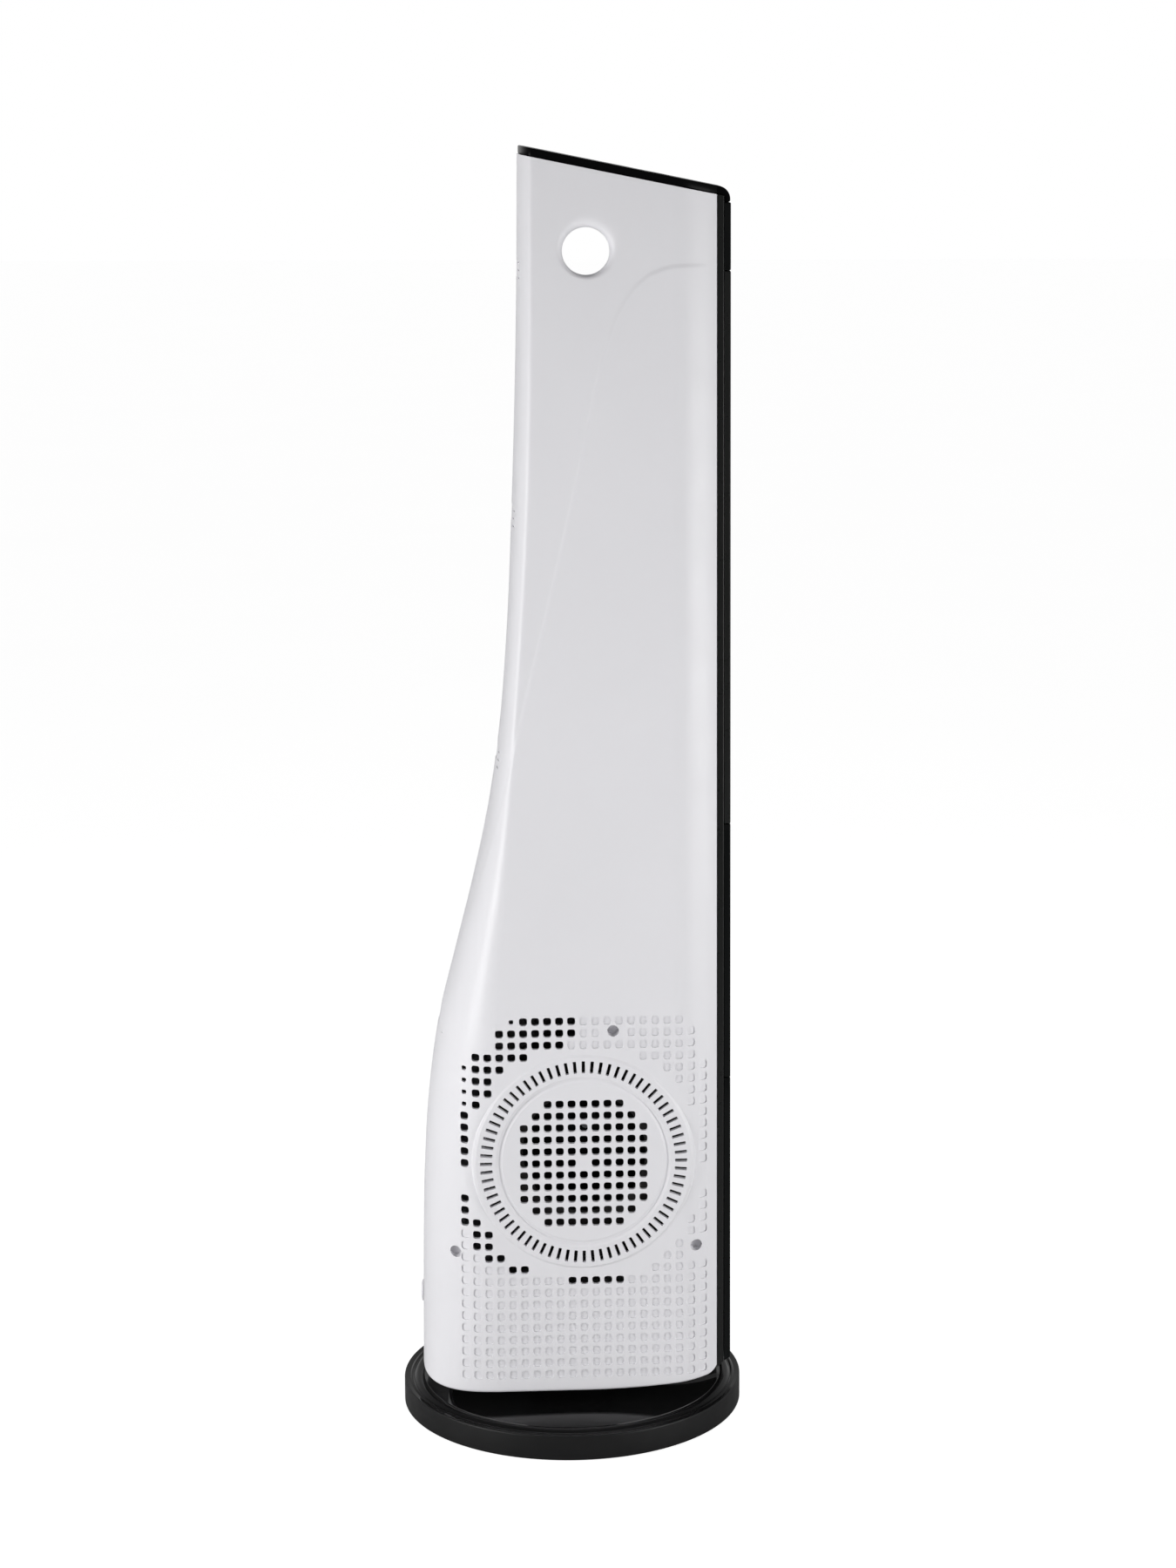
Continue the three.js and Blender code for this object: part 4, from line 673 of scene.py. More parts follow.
def notchCutters():
    # at each snap, a shallow recess across the rear seam, and three short slits out to its side
    s = notchShape
    lows, highs = [], []
    for z in s["heights"]:
        deep = rearX(np.array(z)).item()
        lows.append((deep - s["outside"], -s["halfWidth"], z - s["halfHeight"]))
        highs.append((deep + s["depth"], 3, z + s["halfHeight"]))
        for k in (-1, 0, 1):
            middle = z + k * s["ribPitch"]
            lows.append((deep - s["outside"], -s["ribWidth"] - s["ribBefore"], middle - s["ribHalf"]))
            highs.append((deep + s["ribIn"], -s["ribWidth"] + s["ribAfter"], middle + s["ribHalf"]))
    return boxCutters(lows, highs)


skirtShape = {"join": 2.0, "inset": 14.5, "thickness": 1.6, "low": 20.8, "flangeBottom": 26.1,
              "flangeTop": 26.8, "frontX": 74, "narrowX": 33, "narrowReach": 12, "counts": (10, 20, 4, 8, 40)}
capShape = {"rearX": capLow[0], "rearOver": 6, "slope": 11.5, "thickness": 4.5, "gap": 0.12, "inset": 1.2,
            "frontX": capHigh[0], "frontRadius": 7, "edge": 0.8, "lipBottomZ": capLow[2],
            "buttonGap": 0.3, "mouthGap": 0.9}


def turnedInEdge():
    # flat flange and an upright skirt hanging from it, carried round inside the lower edge; towards the front
    # the skirt's foot climbs with the shell's edge and the flange narrows away
    s = skirtShape
    deep, height = s["inset"] + s["thickness"], np.array([s["flangeTop"]])
    corners = [(s["join"], s["flangeTop"]), (s["join"], s["flangeBottom"]), (s["inset"], s["flangeBottom"]),
               (s["inset"], s["low"]), (deep, s["low"]), (deep, s["flangeTop"])]
    skirtPath = shellGrid(height, s["inset"] - 0.1, s["counts"], False)[0]
    rows = []
    for inset, z in corners:
        path = shellGrid(height, inset, s["counts"], False)[0]
        climb = path[:, 2] - s["flangeTop"]
        if inset < s["inset"]:
            narrow = np.clip((path[:, :1] - s["narrowX"]) / s["narrowReach"], 0, 1)
            path = path + (skirtPath - path) * narrow
        path[:, 0] = np.minimum(path[:, 0], s["frontX"])
        path[:, 2] = z + climb * (z == s["low"])
        rows.append(path)
    return tubeParts(np.stack(rows, 1)[None])


def makeShell(name, mirrored, cutters, bosses):
    # body with the carrying hole's tube, bosses and turned-in edge, then all cuts; mirrored for the far side
    piece = newObject(name, [shellBody()])
    s, seam = holeShape, -towerShape["seamGap"]
    reach = -sideY(np.array(s["x"]), np.array(s["z"])).item() + s["tubeShort"]
    core = s["seamRadius"] / 2
    outline = [(core, reach), (s["tubeRadius"], reach), (s["tubeRadius"], seam), (core, seam)]
    tube = turned(outline, 72, (s["x"], 0, s["z"]), "y")
    combine(piece, "UNION", [tube] + bosses + [turnedInEdge()])
    bore = holeCutter(farHole if mirrored else nearHole)
    combine(piece, "DIFFERENCE", [bore, aboveCapCutter(), notchCutters()] + cutters)
    if mirrored:
        work = bmesh.new()
        work.from_mesh(piece.data)
        bmesh.ops.scale(work, vec=(1, -1, 1), verts=work.verts)
        bmesh.ops.reverse_faces(work, faces=work.faces)
        work.to_mesh(piece.data)
        work.free()
    return piece


def shellPair():
    # near shell with the intake, its ring and the screw pockets; far shell with a small vent; both white
    s, r = intakeShape, screwShape
    raised = ringPart([(s["ringInner"], -1.2), (s["ringInner"], 0), (s["ringTopInner"], s["ringHeight"]),
                       (s["ringTopOuter"], s["ringHeight"]), (s["ringOuter"], -s["ringFoot"]),
                       (s["ringOuter"] + 1.2, -3.2)])
    grooveOuter = s["ringInner"] - s["grooveEdge"]
    groove = ringPart([(s["discRadius"], 0.8), (s["discRadius"], 0.02),
                       (grooveOuter - s["grooveFloor"], -s["grooveDepth"]), (grooveOuter, -s["grooveDepth"]),
                       (grooveOuter, 0.8)])
    bosses = [roundCutters([spot], r["bossRadius"], None, -0.2) for spot in r["spots"]]
    pockets = roundCutters(r["spots"], r["radius"], -90, -r["floorY"])
    squares = [("inner", s["hole"], s["through"]), ("open", s["hole"], s["through"]),
               ("small", s["smallHole"], s["through"]), ("blind", s["hole"], s["blindDepth"])]
    cutters = [groove, pockets]
    cutters += [squareCutters(s[rows], size, s["outside"], depth) for rows, size, depth in squares]
    cutters.append(slotCutters())
    right = makeShell("rightShell", False, cutters, bosses + [raised])
    plugs = []
    for spot in r["spots"]:
        outside = -sideY(*np.array(spot)).item() + r["plugDepth"]
        inside = outside + r["plugThickness"]
        plugs.append(roundCutters([spot], r["radius"] + r["plugMargin"], outside, inside))
    combine(right, "UNION", plugs)
    finishPiece(right, "tower", shellPlastic, ["right_shell"], 18)
    half = s["ventHalf"]
    vent = [(row, max(0, abs(row) - 1) - half, half - max(0, abs(row) - 1)) for row in range(-half, half + 1)]
    left = makeShell("leftShell", True, [squareCutters(vent, s["hole"], s["outside"], s["through"])], [])
    finishPiece(left, "tower", shellPlastic, ["left_shell"], 18)
    print("shells made", len(right.data.polygons), len(left.data.polygons))


shellPair()

# ---- base

baseShape = {
    "steps": 240, "skirtGap": 0.8, "wall": 2.2, "wallTop": 14.5, "plateZ": 14.2,
    "grooveIn": 3.2, "grooveZ": 13.9, "ridgeIn": 4.2, "ridgeZ": 14.5, "footIn": 5.5, "footZ": 13.9,
    "crownOuterIn": 7.2, "crownInnerIn": 9.2, "crownZ": 15.4, "innerIn": 11.5, "innerZ": 14.9,
    "postRadius": 17, "postBore": 12, "polishInside": 94.9, "plateInside": 84, "polishAbove": 13.2,
}


def basePolish(tree, place):
    # two levels by distance from the axis and by height: one is 1 on the plate and its rim and 0 on the wall,
    # the other is 1 on the plate only
    s = baseShape
    parts = addNode(tree, "ShaderNodeSeparateXYZ", Vector=place.outputs["Object"])
    flat = addNode(tree, "ShaderNodeCombineXYZ", X=parts.outputs["X"], Y=parts.outputs["Y"])
    length = addNode(tree, "ShaderNodeVectorMath", operation="LENGTH", Vector=flat.outputs[0])
    radius, height = s["polishInside"] * mm, s["polishAbove"] * mm
    inside = ranged(tree, length.outputs["Value"], 1, 0, radius, radius + 0.4 * mm)
    above = ranged(tree, parts.outputs["Z"], 0, 1, height, height + 0.4 * mm)
    both = worked(tree, "MULTIPLY", inside, above)
    plate = s["plateInside"] * mm
    centre = ranged(tree, length.outputs["Value"], 1, 0, plate, plate + 0.3 * mm)
    return both, centre


def baseCover():
    # outline of radius and height turned round Z: satin wall, stepped edge, round bead, plate and post
    s, high = baseShape, cadBox("base_cover")[1]
    edge = high[0]
    outline = [
        (edge, s["skirtGap"], 0.3), (edge, s["wallTop"], 1.0), (edge - s["grooveIn"], s["grooveZ"], 0.3),
        (edge - s["ridgeIn"], s["ridgeZ"], 0.5), (edge - s["footIn"], s["footZ"], 0.25),
        (edge - s["crownOuterIn"], s["crownZ"], 1.4), (edge - s["crownInnerIn"], s["crownZ"], 1.6),
        (edge - s["innerIn"], s["innerZ"], 0.3), (edge - s["innerIn"], s["plateZ"], 0.08),
        (s["postRadius"], s["plateZ"], 0.8), (s["postRadius"], high[2], 0.4), (s["postBore"], high[2], 0.4),
        (s["postBore"], s["plateZ"] - s["wall"], 0.4), (edge - s["wall"] - 1, s["plateZ"] - s["wall"], 1.2),
        (edge - s["wall"], s["wallTop"] - s["wall"] - 1, 1.2), (edge - s["wall"], s["skirtGap"], 0.3),
    ]
    corners = np.array(outline)
    piece = newObject("baseCover", [turned(roundCorners(corners[:, :2], corners[:, 2], 6), s["steps"])])
    finishPiece(piece, "base", baseBlack, ["base_cover"], 50)


plateShape = {"bore": 12, "round": 0.5, "steps": 160, "screwHole": 1.8, "plungerHole": 3.4}


def steelPlate():
    # flat disc with rounded rims and holes for the screws and the tip plunger
    s = plateShape
    low, high = cadBox("base_plate")
    middle = [(cadBox(f"base_screw_{k}")[0] + cadBox(f"base_screw_{k}")[1]) / 2 for k in (1, 2, 3)]
    plunger = sum(cadBox("tip_plunger")) / 2
    ring = [(s["bore"], low[2]), (high[0], low[2]), (high[0], high[2]), (s["bore"], high[2])]
    piece = newObject("basePlate", [turned(roundCorners(ring, s["round"], 4), s["steps"])])
    holes = [(spot, s["screwHole"]) for spot in middle] + [(plunger, s["plungerHole"])]
    drills = [turned([(0, -5), (r, -5), (r, 20), (0, 20)], 40, (at[0], at[1], 0)) for at, r in holes]
    combine(piece, "DIFFERENCE", drills)
    finishPiece(piece, "base", plateSteel, ["base_plate"])


footShape = {"radius": 6.0, "dish": 0.25, "ringInner": 2.4, "ringOuter": 2, "edge": 0.9,
             "rounding": [0, 0.2, 0.2, 0.5, 0.5, 0.2, 0]}


def rubberFeet():
    # turned pad that stands on a flat ring, with a shallow dish inside it and a soft edge
    s = footShape
    for k in range(1, 6):
        low, high = cadBox(f"foot_{k}")
        middle, radius, top = (low + high) / 2, s["radius"], high[2]
        outline = [(0, s["dish"]), (radius - s["ringInner"], s["dish"]), (radius - s["ringOuter"], 0),
                   (radius - s["edge"], 0), (radius, s["edge"]), (radius, top), (0, top)]
        outline = roundCorners(outline, s["rounding"], 4)
        piece = newObject(f"foot{k}", [turned(outline, 48, (middle[0], middle[1], 0))])
        finishPiece(piece, "base", footRubber, [f"foot_{k}"])


plungerShape = {"radius": 3, "collar": 4.5, "collarHeight": 0.8, "rounding": [0, 1.2, 0.1, 0.15, 0.15, 0]}


def tipPlunger():
    # pin with a round tip and a wider collar at its top, turned round Z
    low, high = cadBox("tip_plunger")
    s, middle = plungerShape, (low + high) / 2
    under = high[2] - s["collarHeight"]
    outline = [(0, 0), (s["radius"], 0), (s["radius"], under), (s["collar"], under), (s["collar"], high[2]),
               (0, high[2])]
    outline = roundCorners(outline, s["rounding"], 5)
    piece = newObject("tipPlunger", [turned(outline, 48, (middle[0], middle[1], 0))])
    finishPiece(piece, "tip_plunger_body", bearingPlastic, ["tip_plunger"])


baseBlack = mouldedPlastic("baseBlack", satinLook, basePolish)
baseCover()
steelPlate()
rubberFeet()
tipPlunger()
print("base made")

# ---- swivel and screws

neckShape = {"inner": 20, "outer": 24, "flange": 32, "flangeTop": 3.7, "flangeThickness": 2.5,
             "screwHole": 1.7, "bushBore": 17.3, "round": 0.4}


def swivelNeck():
    # sleeve with a flange near its top, turned round Z, with three screw holes
    low, high = cadBox("swivel_neck")
    s, top = neckShape, high[2]
    flange = top - s["flangeTop"]
    under = flange - s["flangeThickness"]
    outline = [(s["inner"], low[2]), (s["outer"], low[2]), (s["outer"], under), (s["flange"], under),
               (s["flange"], flange), (s["outer"], flange), (s["outer"], top), (s["inner"], top)]
    piece = newObject("swivelNeck", [turned(roundCorners(outline, s["round"], 4), 144)])
    spots = [sum(cadBox(f"neck_screw_{k}")) / 2 for k in (1, 2, 3)]
    hole = [(0, 20), (s["screwHole"], 20), (s["screwHole"], 60), (0, 60)]
    combine(piece, "DIFFERENCE", [turned(hole, 32, (spot[0], spot[1], 0)) for spot in spots])
    finishPiece(piece, "tower", baseSatin, ["swivel_neck"])


def swivelBush():
    # plain sleeve inside the neck, turned round Z
    low, high = cadBox("swivel_bush")
    bore = neckShape["bushBore"]
    outline = [(bore, low[2]), (high[0], low[2]), (high[0], high[2]), (bore, high[2])]
    outline = roundCorners(outline, neckShape["round"], 4)
    piece = newObject("swivelBush", [turned(outline, 120)])
    finishPiece(piece, "tower", bearingPlastic, ["swivel_bush"])


# the shell screws' heads have ten sides, so their boxes are narrower in X than in Z: boxShare gives a radius
# between the two. The recess is two crossed bars, whose length and depth are shares of the head's radius and
# height, and which narrow with depth
screwLook = {"boxShare": 0.975, "armShare": 0.58, "armDepth": 0.6, "armHalf": 0.38, "above": 0.4,
             "narrowing": (0.45, 0.7)}


def screwPiece(node, name, body, axis, headAtHigh, headHeight, shankRadius):
    # turned head and shank with a crossed recess in the head, along Z or Y
    low, high = cadBox(node)
    k = {"z": 2, "y": 1}[axis]
    middle = (low + high) / 2
    s = screwLook
    head = (high - low)[0] / 2 / s["boxShare"] if axis == "y" else (high - low)[0] / 2
    length = high[k] - low[k]
    outline = [(0, 0), (head - 0.5, 0), (head, 0.45), (head, headHeight), (shankRadius, headHeight),
               (shankRadius, length - 1), (0.35, length), (0, length)]
    outline = roundCorners(outline, [0, 0.5, 0.25, 0.1, 0.1, 0.3, 0.1, 0], 4)
    outline[:, 1] = high[k] - outline[:, 1] if headAtHigh else low[k] + outline[:, 1]
    centre = np.where(np.arange(3) == k, 0, middle)
    piece = newObject(name, [turned(outline, 36, centre, axis)])
    wide, deep, slim = head * s["armShare"], headHeight * s["armDepth"], s["armHalf"]
    face = high[k] if headAtHigh else low[k]
    inward = -1 if headAtHigh else 1
    for a, b in ((wide, slim), (slim, wide)):
        reach = [np.array([a, b]), np.array([a, b]) * s["narrowing"]]
        square = np.array([(-1, -1), (1, -1), (1, 1), (-1, 1)], float)
        levels = []
        for size, away in ((reach[0], -s["above"]), (reach[0], 0), (reach[1], deep)):
            flat = square * size
            along = np.full((4, 1), face + inward * away)
            ring = np.hstack([flat, along]) if axis == "z" else np.hstack([flat[:, :1], along, flat[:, 1:]])
            levels.append(ring + centre)
        combine(piece, "DIFFERENCE", [tubeParts(np.stack(levels)[None])])
    finishPiece(piece, body, motorSteel, [node])


swivelNeck()
swivelBush()
for k in (1, 2, 3):
    screwPiece(f"base_screw_{k}", f"baseScrew{k}", "base", "z", False, 1.2, 1.5)
    screwPiece(f"neck_screw_{k}", f"neckScrew{k}", "tower", "z", True, 1.4, 1.3)
    screwPiece(f"shell_screw_{k}", f"shellScrew{k}", "tower", "y", False, 2.2, 1.5)
for k in (1, 2):
    screwPiece(f"gear_screw_{k}", f"gearScrew{k}", "base", "z", True, 1.2, 1.1)


glandShape = {"radius": 6.0, "bore": 2.9, "crown": 4.4, "waist": 4, "flange": 1.2, "round": 0.35}


def cordGland():
    # collar turned round X: two flanges with a waist between them, a rounded outer face and an open bore
    low, high = cadBox("cord_gland")
    s, outer, inner = glandShape, low[0], high[0]
    bore, radius, waist, flange = s["bore"], s["radius"], s["waist"], s["flange"]
    outline = [(bore, outer + 0.2), (s["crown"], outer - 0.1), (radius, outer + 0.5),
               (radius, outer + flange), (waist, outer + flange), (waist, inner - flange),
               (radius, inner - flange), (radius, inner), (bore, inner)]
    outline = roundCorners(outline, s["round"], 4)
    piece = newObject("cordGland", [turned(outline, 64, (0, 0, (low + high)[2] / 2), "x")])
    finishPiece(piece, "tower", shellPlastic, ["cord_gland"])


cordGland()
print("swivel and screws made")

# ---- front

frontShape = {"inset": 0.4, "edge": 0.7, "frameEdge": 0.5, "slats": 24, "slatHeight": 3.6, "windowHalf": 31,
              "windowLow": 349, "windowHigh": 633, "cornerRadius": 2.2, "grilleBevel": 0.45,
              "rise": 12, "riseX": 80, "riseReach": 9, "riseHeight": 45}


def frontBar(lowX, highX, lowZ, highZ, inset, edge):
    # upright bar as wide as the tower's front at each height; edges are quarter circles of radius "edge", and
    # near the foot it climbs towards the front by the root of its share of the reach
    s = frontShape
    bend = np.linspace(0, np.pi / 2, 5)
    inward = edge * (1 - np.sin(bend))
    heights = np.concatenate([lowZ + edge * (1 - np.cos(bend)), np.linspace(lowZ, highZ, 12)[1:-1],
                              (highZ - edge * (1 - np.cos(bend)))[::-1]])
    drawn = np.concatenate([inward, np.zeros(10), inward[::-1]])
    riseLength = towerShape["frontX"] + s["riseReach"] - s["riseX"]
    rings = []
    for z, d in zip(heights, drawn):
        half = halfWidth(towerShape["frontX"], z) - inset - d
        box = [(lowX, -half), (highX - d, -half), (highX - d, half), (lowX, half)]
        ring = roundCorners(box, [0.15, edge, edge, 0.15], 7)
        reach = np.clip((ring[:, 0] - s["riseX"]) / riseLength, 0, 1)
        climb = s["rise"] * np.sqrt(reach) * max(0, 1 - (z - shellLow[2]) / s["riseHeight"])
        rings.append(np.column_stack([ring, z + climb]))
    return tubeParts(np.stack(rings)[None])


def windowCutters(lowX, highX, spans, half, radius):
    # openings with round corners, each from one height to another, right through in X
    items = []
    for low, high in spans:
        ring = roundCorners([(-half, low), (half, low), (half, high), (-half, high)], radius, 6)
        ends = [np.hstack([np.full((len(ring), 1), x), ring]) for x in (lowX - 4, highX + 4)]
        items.append(np.stack(ends))
    return tubeParts(np.stack(items))


def bevelled(piece, width, segments=3, angle=32):
    # joins faces that lie in one plane, then rounds every edge sharper than the angle
    work = bmesh.new()
    work.from_mesh(piece.data)
    bmesh.ops.remove_doubles(work, verts=work.verts, dist=mergeDistance)
    bmesh.ops.dissolve_limit(work, angle_limit=math.radians(0.4), verts=work.verts, edges=work.edges)
    work.to_mesh(piece.data)
    work.free()
    bevel = piece.modifiers.new("round", "BEVEL")
    bevel.width = width * mm
    bevel.segments = segments
    bevel.limit_method = "ANGLE"
    bevel.angle_limit = math.radians(angle)
    applyModifiers(piece)


def frontPieces():
    # frame behind, three panels, and the grille, whose slats are what its gaps leave
    s = frontShape
    low, high = cadBox("front_frame")
    frameTop = capPlaneZ(low[0], capShape["thickness"])
    frame = newObject("frontFrame", [frontBar(low[0], high[0], low[2], frameTop, 0, s["frameEdge"])])
    opening = [(s["windowLow"], s["windowHigh"])]
    window = windowCutters(low[0], high[0], opening, s["windowHalf"], s["cornerRadius"])
    combine(frame, "DIFFERENCE", [window, aboveCapCutter()])
    finishPiece(frame, "tower", frameSatin, ["front_frame"])
    for node, name in (("display_panel", "displayPanel"), ("lower_front_panel", "lowerFrontPanel"),
                       ("kick_panel", "kickPanel")):
        low, high = cadBox(node)
        panel = newObject(name, [frontBar(low[0], high[0], low[2], high[2], s["inset"], s["edge"])])
        finishPiece(panel, "tower", panelGloss, [node])
    low, high = cadBox("outlet_grille")
    grille = newObject("outletGrille", [frontBar(low[0], high[0], low[2], high[2], s["inset"], s["edge"])])
    pitch, slat = (s["windowHigh"] - s["windowLow"]) / s["slats"], s["slatHeight"] / 2
    starts = [s["windowLow"] + k * pitch for k in range(s["slats"] + 1)]
    gaps = [(start + slat, end - slat) for start, end in zip(starts[:-1], starts[1:])]
    gapCutters = windowCutters(low[0], high[0], gaps, s["windowHalf"], s["cornerRadius"])
    combine(grille, "DIFFERENCE", [gapCutters])
    bevelled(grille, s["grilleBevel"], 3)
    finishPiece(grille, "tower", frameSatin, ["outlet_grille"])


panelGloss = mouldedPlastic("panelGloss", panelLook)
frontPieces()
print("front made")

# ---- cap and buttons

slope = math.radians(capShape["slope"])


def capOutline(inset):
    # half of the tower's plan from the front edge to the rear, carried on to the cap's front, both sides
    s, z = towerShape, capShape["lipBottomZ"]
    start, deep = cornerX(z), rearX(z)
    x = np.concatenate([[capShape["frontX"]], np.linspace(s["frontX"], s["shoulderX"], 10), [start]])
    y = halfWidth(x, z) - inset
    angle = np.linspace(0, np.pi / 2, 40)[1:]
    rear = start - (start - deep - inset) * np.sin(angle) ** (2 / s["rearPower"])
    side = (halfWidth(start, z) - inset) * np.abs(np.cos(angle)) ** (2 / s["rearPower"])
    x, y = np.concatenate([x, rear]), np.concatenate([y, side])
    return np.vstack([np.stack([x, -y], -1)[:-1], np.stack([x, y], -1)[::-1]])


def topCap():
    # side profile carried across in Y, kept where it lies inside the plan outline, with its edges rounded
    s = capShape
    centreX = s["frontX"] - s["frontRadius"]
    centreZ = capPlaneZ(centreX, 0) - s["frontRadius"] / math.cos(slope)
    turn = np.linspace(0, np.pi / 2 - slope, 16)
    backX, lipX = s["rearX"] - s["rearOver"], cadBox("display_panel")[0][0]
    profile = [(backX, capPlaneZ(backX, s["thickness"])), (lipX, capPlaneZ(lipX, s["thickness"])),
               (lipX, s["lipBottomZ"]), (s["frontX"], s["lipBottomZ"])]
    profile += list(zip(centreX + s["frontRadius"] * np.cos(turn), centreZ + s["frontRadius"] * np.sin(turn)))
    profile.append((backX, capPlaneZ(backX, 0)))
    profile = np.array(profile)
    sides = [np.stack([profile[:, 0], 0 * profile[:, 0] + y, profile[:, 1]], -1) for y in (-90, 90)]
    piece = newObject("topCap", [tubeParts(np.stack(sides)[None])])
    plan = capOutline(s["inset"])
    levels = [np.hstack([plan, np.full((len(plan), 1), z)]) for z in (600, 800)]
    combine(piece, "INTERSECT", [tubeParts(np.stack(levels)[None])])
    bevelled(piece, s["edge"], 4, 40)
    for name, radius in buttonSizes.items():
        bore, mouth = radius + s["buttonGap"], radius + s["mouthGap"]
        well = [(0, -9), (bore, -9), (bore, -0.9), (mouth, 0.02), (mouth, 4), (0, 4)]
        combine(piece, "DIFFERENCE", [buttonTurned(name, well)])
    finishPiece(piece, "tower", capGloss, ["top_cap"], 25)


buttonShape = {"top": -0.1, "bottom": -6.0, "flange": -4.8, "flangeExtra": 1.6, "dish": 0.5}
buttonSizes = {"power_button": 8, "heat_button": 5.5, "fan_button": 5.5, "swing_button": 5.5,
               "timer_button": 5.5}


def buttonTurned(node, outline):
    # outline of radius and height turned round the cap's own upright at the button's place
    s = buttonShape
    rest = (s["top"] + s["bottom"]) / 2
    # the box's middle lies off the button's own middle, because the foot is wider than the cap
    reach = np.array([0, s["flangeExtra"], s["flangeExtra"]]) + buttonSizes[node]
    level = np.array([s["top"], s["flange"], s["bottom"]]) - rest
    alongX = np.concatenate([level * math.sin(slope) + side * reach * math.cos(slope) for side in (-1, 1)])
    alongZ = np.concatenate([level * math.cos(slope) + side * reach * math.sin(slope) for side in (-1, 1)])
    middle = sum(cadBox(node)) / 2
    middle = middle - np.array([alongX.max() + alongX.min(), 0, alongZ.max() + alongZ.min()]) / 2
    points, quads = turned(outline, 64)
    across, up = points[:, 0], points[:, 2] - rest
    x = middle[0] + across * math.cos(slope) + up * math.sin(slope)
    z = middle[2] - across * math.sin(slope) + up * math.cos(slope)
    return np.stack([x, middle[1] + points[:, 1], z], -1), quads


def buttons():
    # cap with a rounded edge and a shallow dish, on a wider foot under the cap
    s = buttonShape
    for node, radius in buttonSizes.items():
        dish = [(0, s["top"] - s["dish"]), (radius * 0.45, s["top"] - s["dish"] * 0.8),
                (radius * 0.8, s["top"] - 0.12)]
        foot = radius + s["flangeExtra"]
        outline = [(0, s["bottom"]), (foot, s["bottom"]), (foot, s["flange"]), (radius, s["flange"]),
                   (radius, s["top"])] + dish[::-1]
        outline = roundCorners(outline, [0, 0.2, 0.2, 0.2, 0.7, 0.8, 1.5, 0], 6)
        name = node.split("_")[0] + "Button"
        piece = newObject(name, [buttonTurned(node, outline)])
        finishPiece(piece, node + "_body", buttonPlastic, [node], 40)


topCap()
buttons()
print("cap and buttons made")

# ---- frame nodes that stay as they are

slotMaterials = {
    "shell_white": shellPlastic, "gloss_black": capGloss, "satin_black": baseSatin,
    "inner_black": insideBlack,
    "foot_rubber": footRubber, "steel": motorSteel, "bearing_plastic": bearingPlastic,
    "element_ceramic": elementCeramic, "board_green": boardMask, "heat_plastic": heatPlastic,
    "button_black": buttonPlastic,
}
for node in cad.values():
    for k, old in enumerate(node.data.materials):
        node.data.materials[k] = slotMaterials[old.name.split(".")[0]]
print("frame nodes finished")

# ---- floor, lamps and camera

stageShape = {"floorSize": 40, "glow": 0.85}
worldShape = {"level": 0.62, "cameraSide": 0.4, "overhead": 0.25}
lampShape = {"size": (0.7, 0.55), "reach": 1.0, "near": -0.62, "height": 0.34, "aim": 0.32,
             "left": 10.6, "right": 8.3}


def addFloor():
    # the paper glows only for the camera, so that it is white and still takes the heater's shadow
    half = stageShape["floorSize"] / 2
    mesh = bpy.data.meshes.new("floor")
    corners = [(-half, -half, 0), (half, -half, 0), (half, half, 0), (-half, half, 0)]
    mesh.from_pydata(corners, [], [(0, 1, 2, 3)])
    floor = bpy.data.objects.new("floor", mesh)
    bpy.context.scene.collection.objects.link(floor)
    material, tree, shader = newMaterial("floorPaper")
    place = tree.nodes.new("ShaderNodeTexCoord")
    cloud = noiseAt(tree, place, 3, 3)
    tint = mixed(tree, ranged(tree, cloud.outputs["Fac"], 0, 1), (0.54, 0.54, 0.54), (0.56, 0.56, 0.56))
    tree.links.new(tint, shader.inputs["Base Color"])
    shader.inputs["Roughness"].default_value = 0.9
    glow = tree.nodes.new("ShaderNodeEmission")
    glow.inputs["Color"].default_value = (1, 1, 1, 1)
    tree.links.new(seenRay(tree, stageShape["glow"]), glow.inputs["Strength"])
    both = tree.nodes.new("ShaderNodeAddShader")
    tree.links.new(shader.outputs["BSDF"], both.inputs[0])
    tree.links.new(glow.outputs["Emission"], both.inputs[1])
    tree.links.new(both.outputs["Shader"], tree.nodes["Material Output"].inputs["Surface"])
    mesh.materials.append(material)


def seenRay(tree, level):
    # level for a ray that the camera sends straight or through glass, and nothing for light on the heater
    path = tree.nodes.new("ShaderNodeLightPath")
    seen = worked(tree, "MAXIMUM", path.outputs["Is Camera Ray"], path.outputs["Is Transmission Ray"])
    scaled = addNode(tree, "ShaderNodeMath", operation="MULTIPLY")
    scaled.inputs[1].default_value = level
    tree.links.new(seen, scaled.inputs[0])
    return scaled.outputs[0]


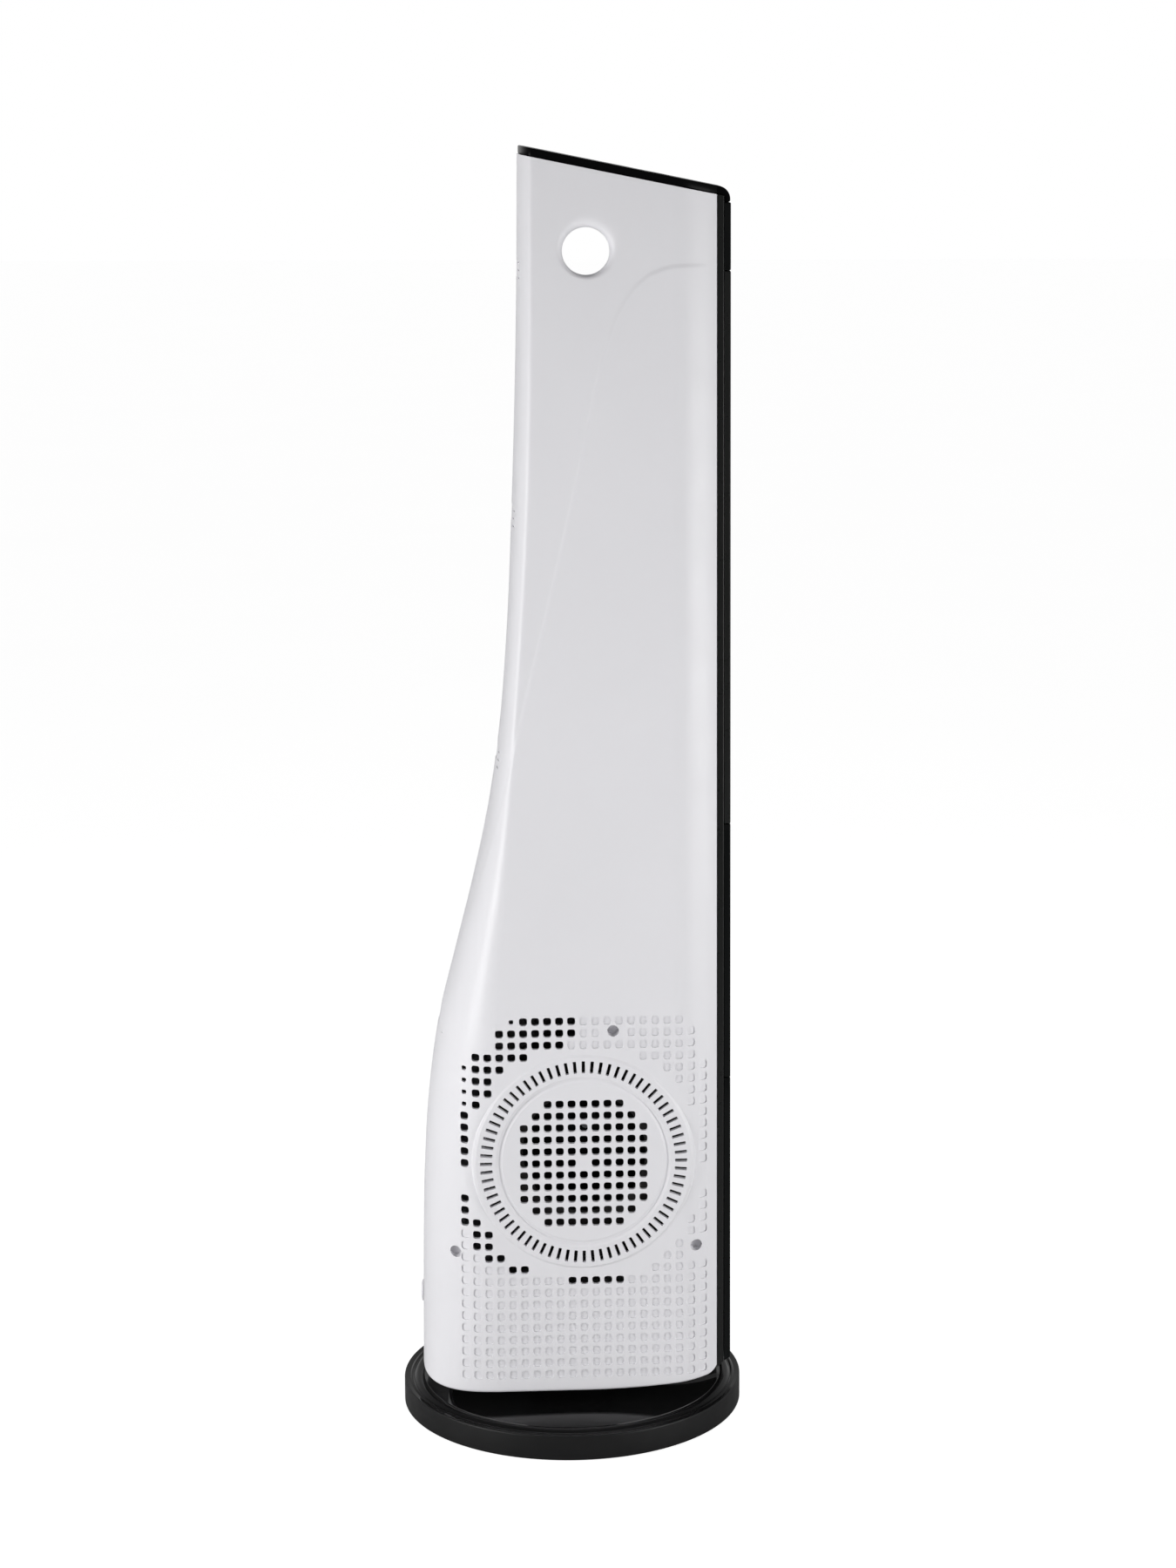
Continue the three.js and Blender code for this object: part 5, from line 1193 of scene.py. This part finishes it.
def addWorld():
    # white where it is seen; as light it is bright at the sides and behind, dark at the camera and overhead
    world = bpy.data.worlds.new("studio")
    bpy.context.scene.world = world
    world.use_nodes = True
    tree = world.node_tree
    way = tree.nodes.new("ShaderNodeTexCoord")
    parts = addNode(tree, "ShaderNodeSeparateXYZ", Vector=way.outputs["Generated"])
    level = worldShape["level"]
    ahead = ranged(tree, parts.outputs["Y"], level * worldShape["cameraSide"], level, -0.95, -0.3)
    above = ranged(tree, parts.outputs["Z"], 1, worldShape["overhead"], 0.1, 0.7)
    strength = worked(tree, "MULTIPLY", ahead, above)
    background = tree.nodes["Background"]
    background.inputs["Color"].default_value = (1, 1, 1, 1)
    tree.links.new(strength, background.inputs["Strength"])
    seen = addNode(tree, "ShaderNodeBackground", Strength=1.0)
    seen.inputs["Color"].default_value = (1, 1, 1, 1)
    blend = tree.nodes.new("ShaderNodeMixShader")
    tree.links.new(seenRay(tree, 1), blend.inputs["Fac"])
    tree.links.new(background.outputs["Background"], blend.inputs[1])
    tree.links.new(seen.outputs["Background"], blend.inputs[2])
    tree.links.new(blend.outputs["Shader"], tree.nodes["World Output"].inputs["Surface"])


def addSoftbox(name, place, target, size, power):
    # upright lamp turned to its target by the angle from straight down and the angle round Z
    lamp = bpy.data.lights.new(name, "AREA")
    lamp.shape = "RECTANGLE"
    lamp.size, lamp.size_y = size
    lamp.energy = power
    holder = bpy.data.objects.new(name, lamp)
    bpy.context.scene.collection.objects.link(holder)
    holder.visible_camera = False
    holder.location = place
    way = np.array(target, float) - np.array(place, float)
    tilt = math.atan2(math.hypot(way[0], way[1]), -way[2])
    holder.rotation_euler = (tilt, 0, math.atan2(way[1], way[0]) - math.pi / 2)


addFloor()
addWorld()
for side in ("left", "right"):
    reach = lampShape["reach"] * (-1 if side == "left" else 1)
    place = (reach, lampShape["near"], lampShape["height"])
    addSoftbox(side + "Softbox", place, (0, 0, lampShape["aim"]), lampShape["size"], lampShape[side])

# the camera looks along Y and down, and is rolled a little about its line of sight
lens = bpy.data.cameras.new("view")
lens.lens, lens.sensor_width = 72.29, 36
lens.shift_x, lens.shift_y = -0.0361, -0.1300
camera = bpy.data.objects.new("view", lens)
bpy.context.scene.collection.objects.link(camera)
camera.location = (0.04253, -1.72427, 0.70142)
camera.rotation_euler = (math.radians(90 - 7.658), 0, 0)
camera.rotation_mode = "QUATERNION"
camera.rotation_quaternion = camera.rotation_euler.to_quaternion()
roll = math.radians(-0.15)
turnBy = (math.cos(roll / 2), 0, 0, math.sin(roll / 2))
a, b = camera.rotation_quaternion, turnBy
camera.rotation_quaternion = (a[0] * b[0] - a[3] * b[3], a[1] * b[0] + a[2] * b[3], a[2] * b[0] - a[1] * b[3],
                              a[0] * b[3] + a[3] * b[0])
bpy.context.scene.camera = camera
bpy.context.scene.view_settings.view_transform = "Standard"

print("stage and camera set")
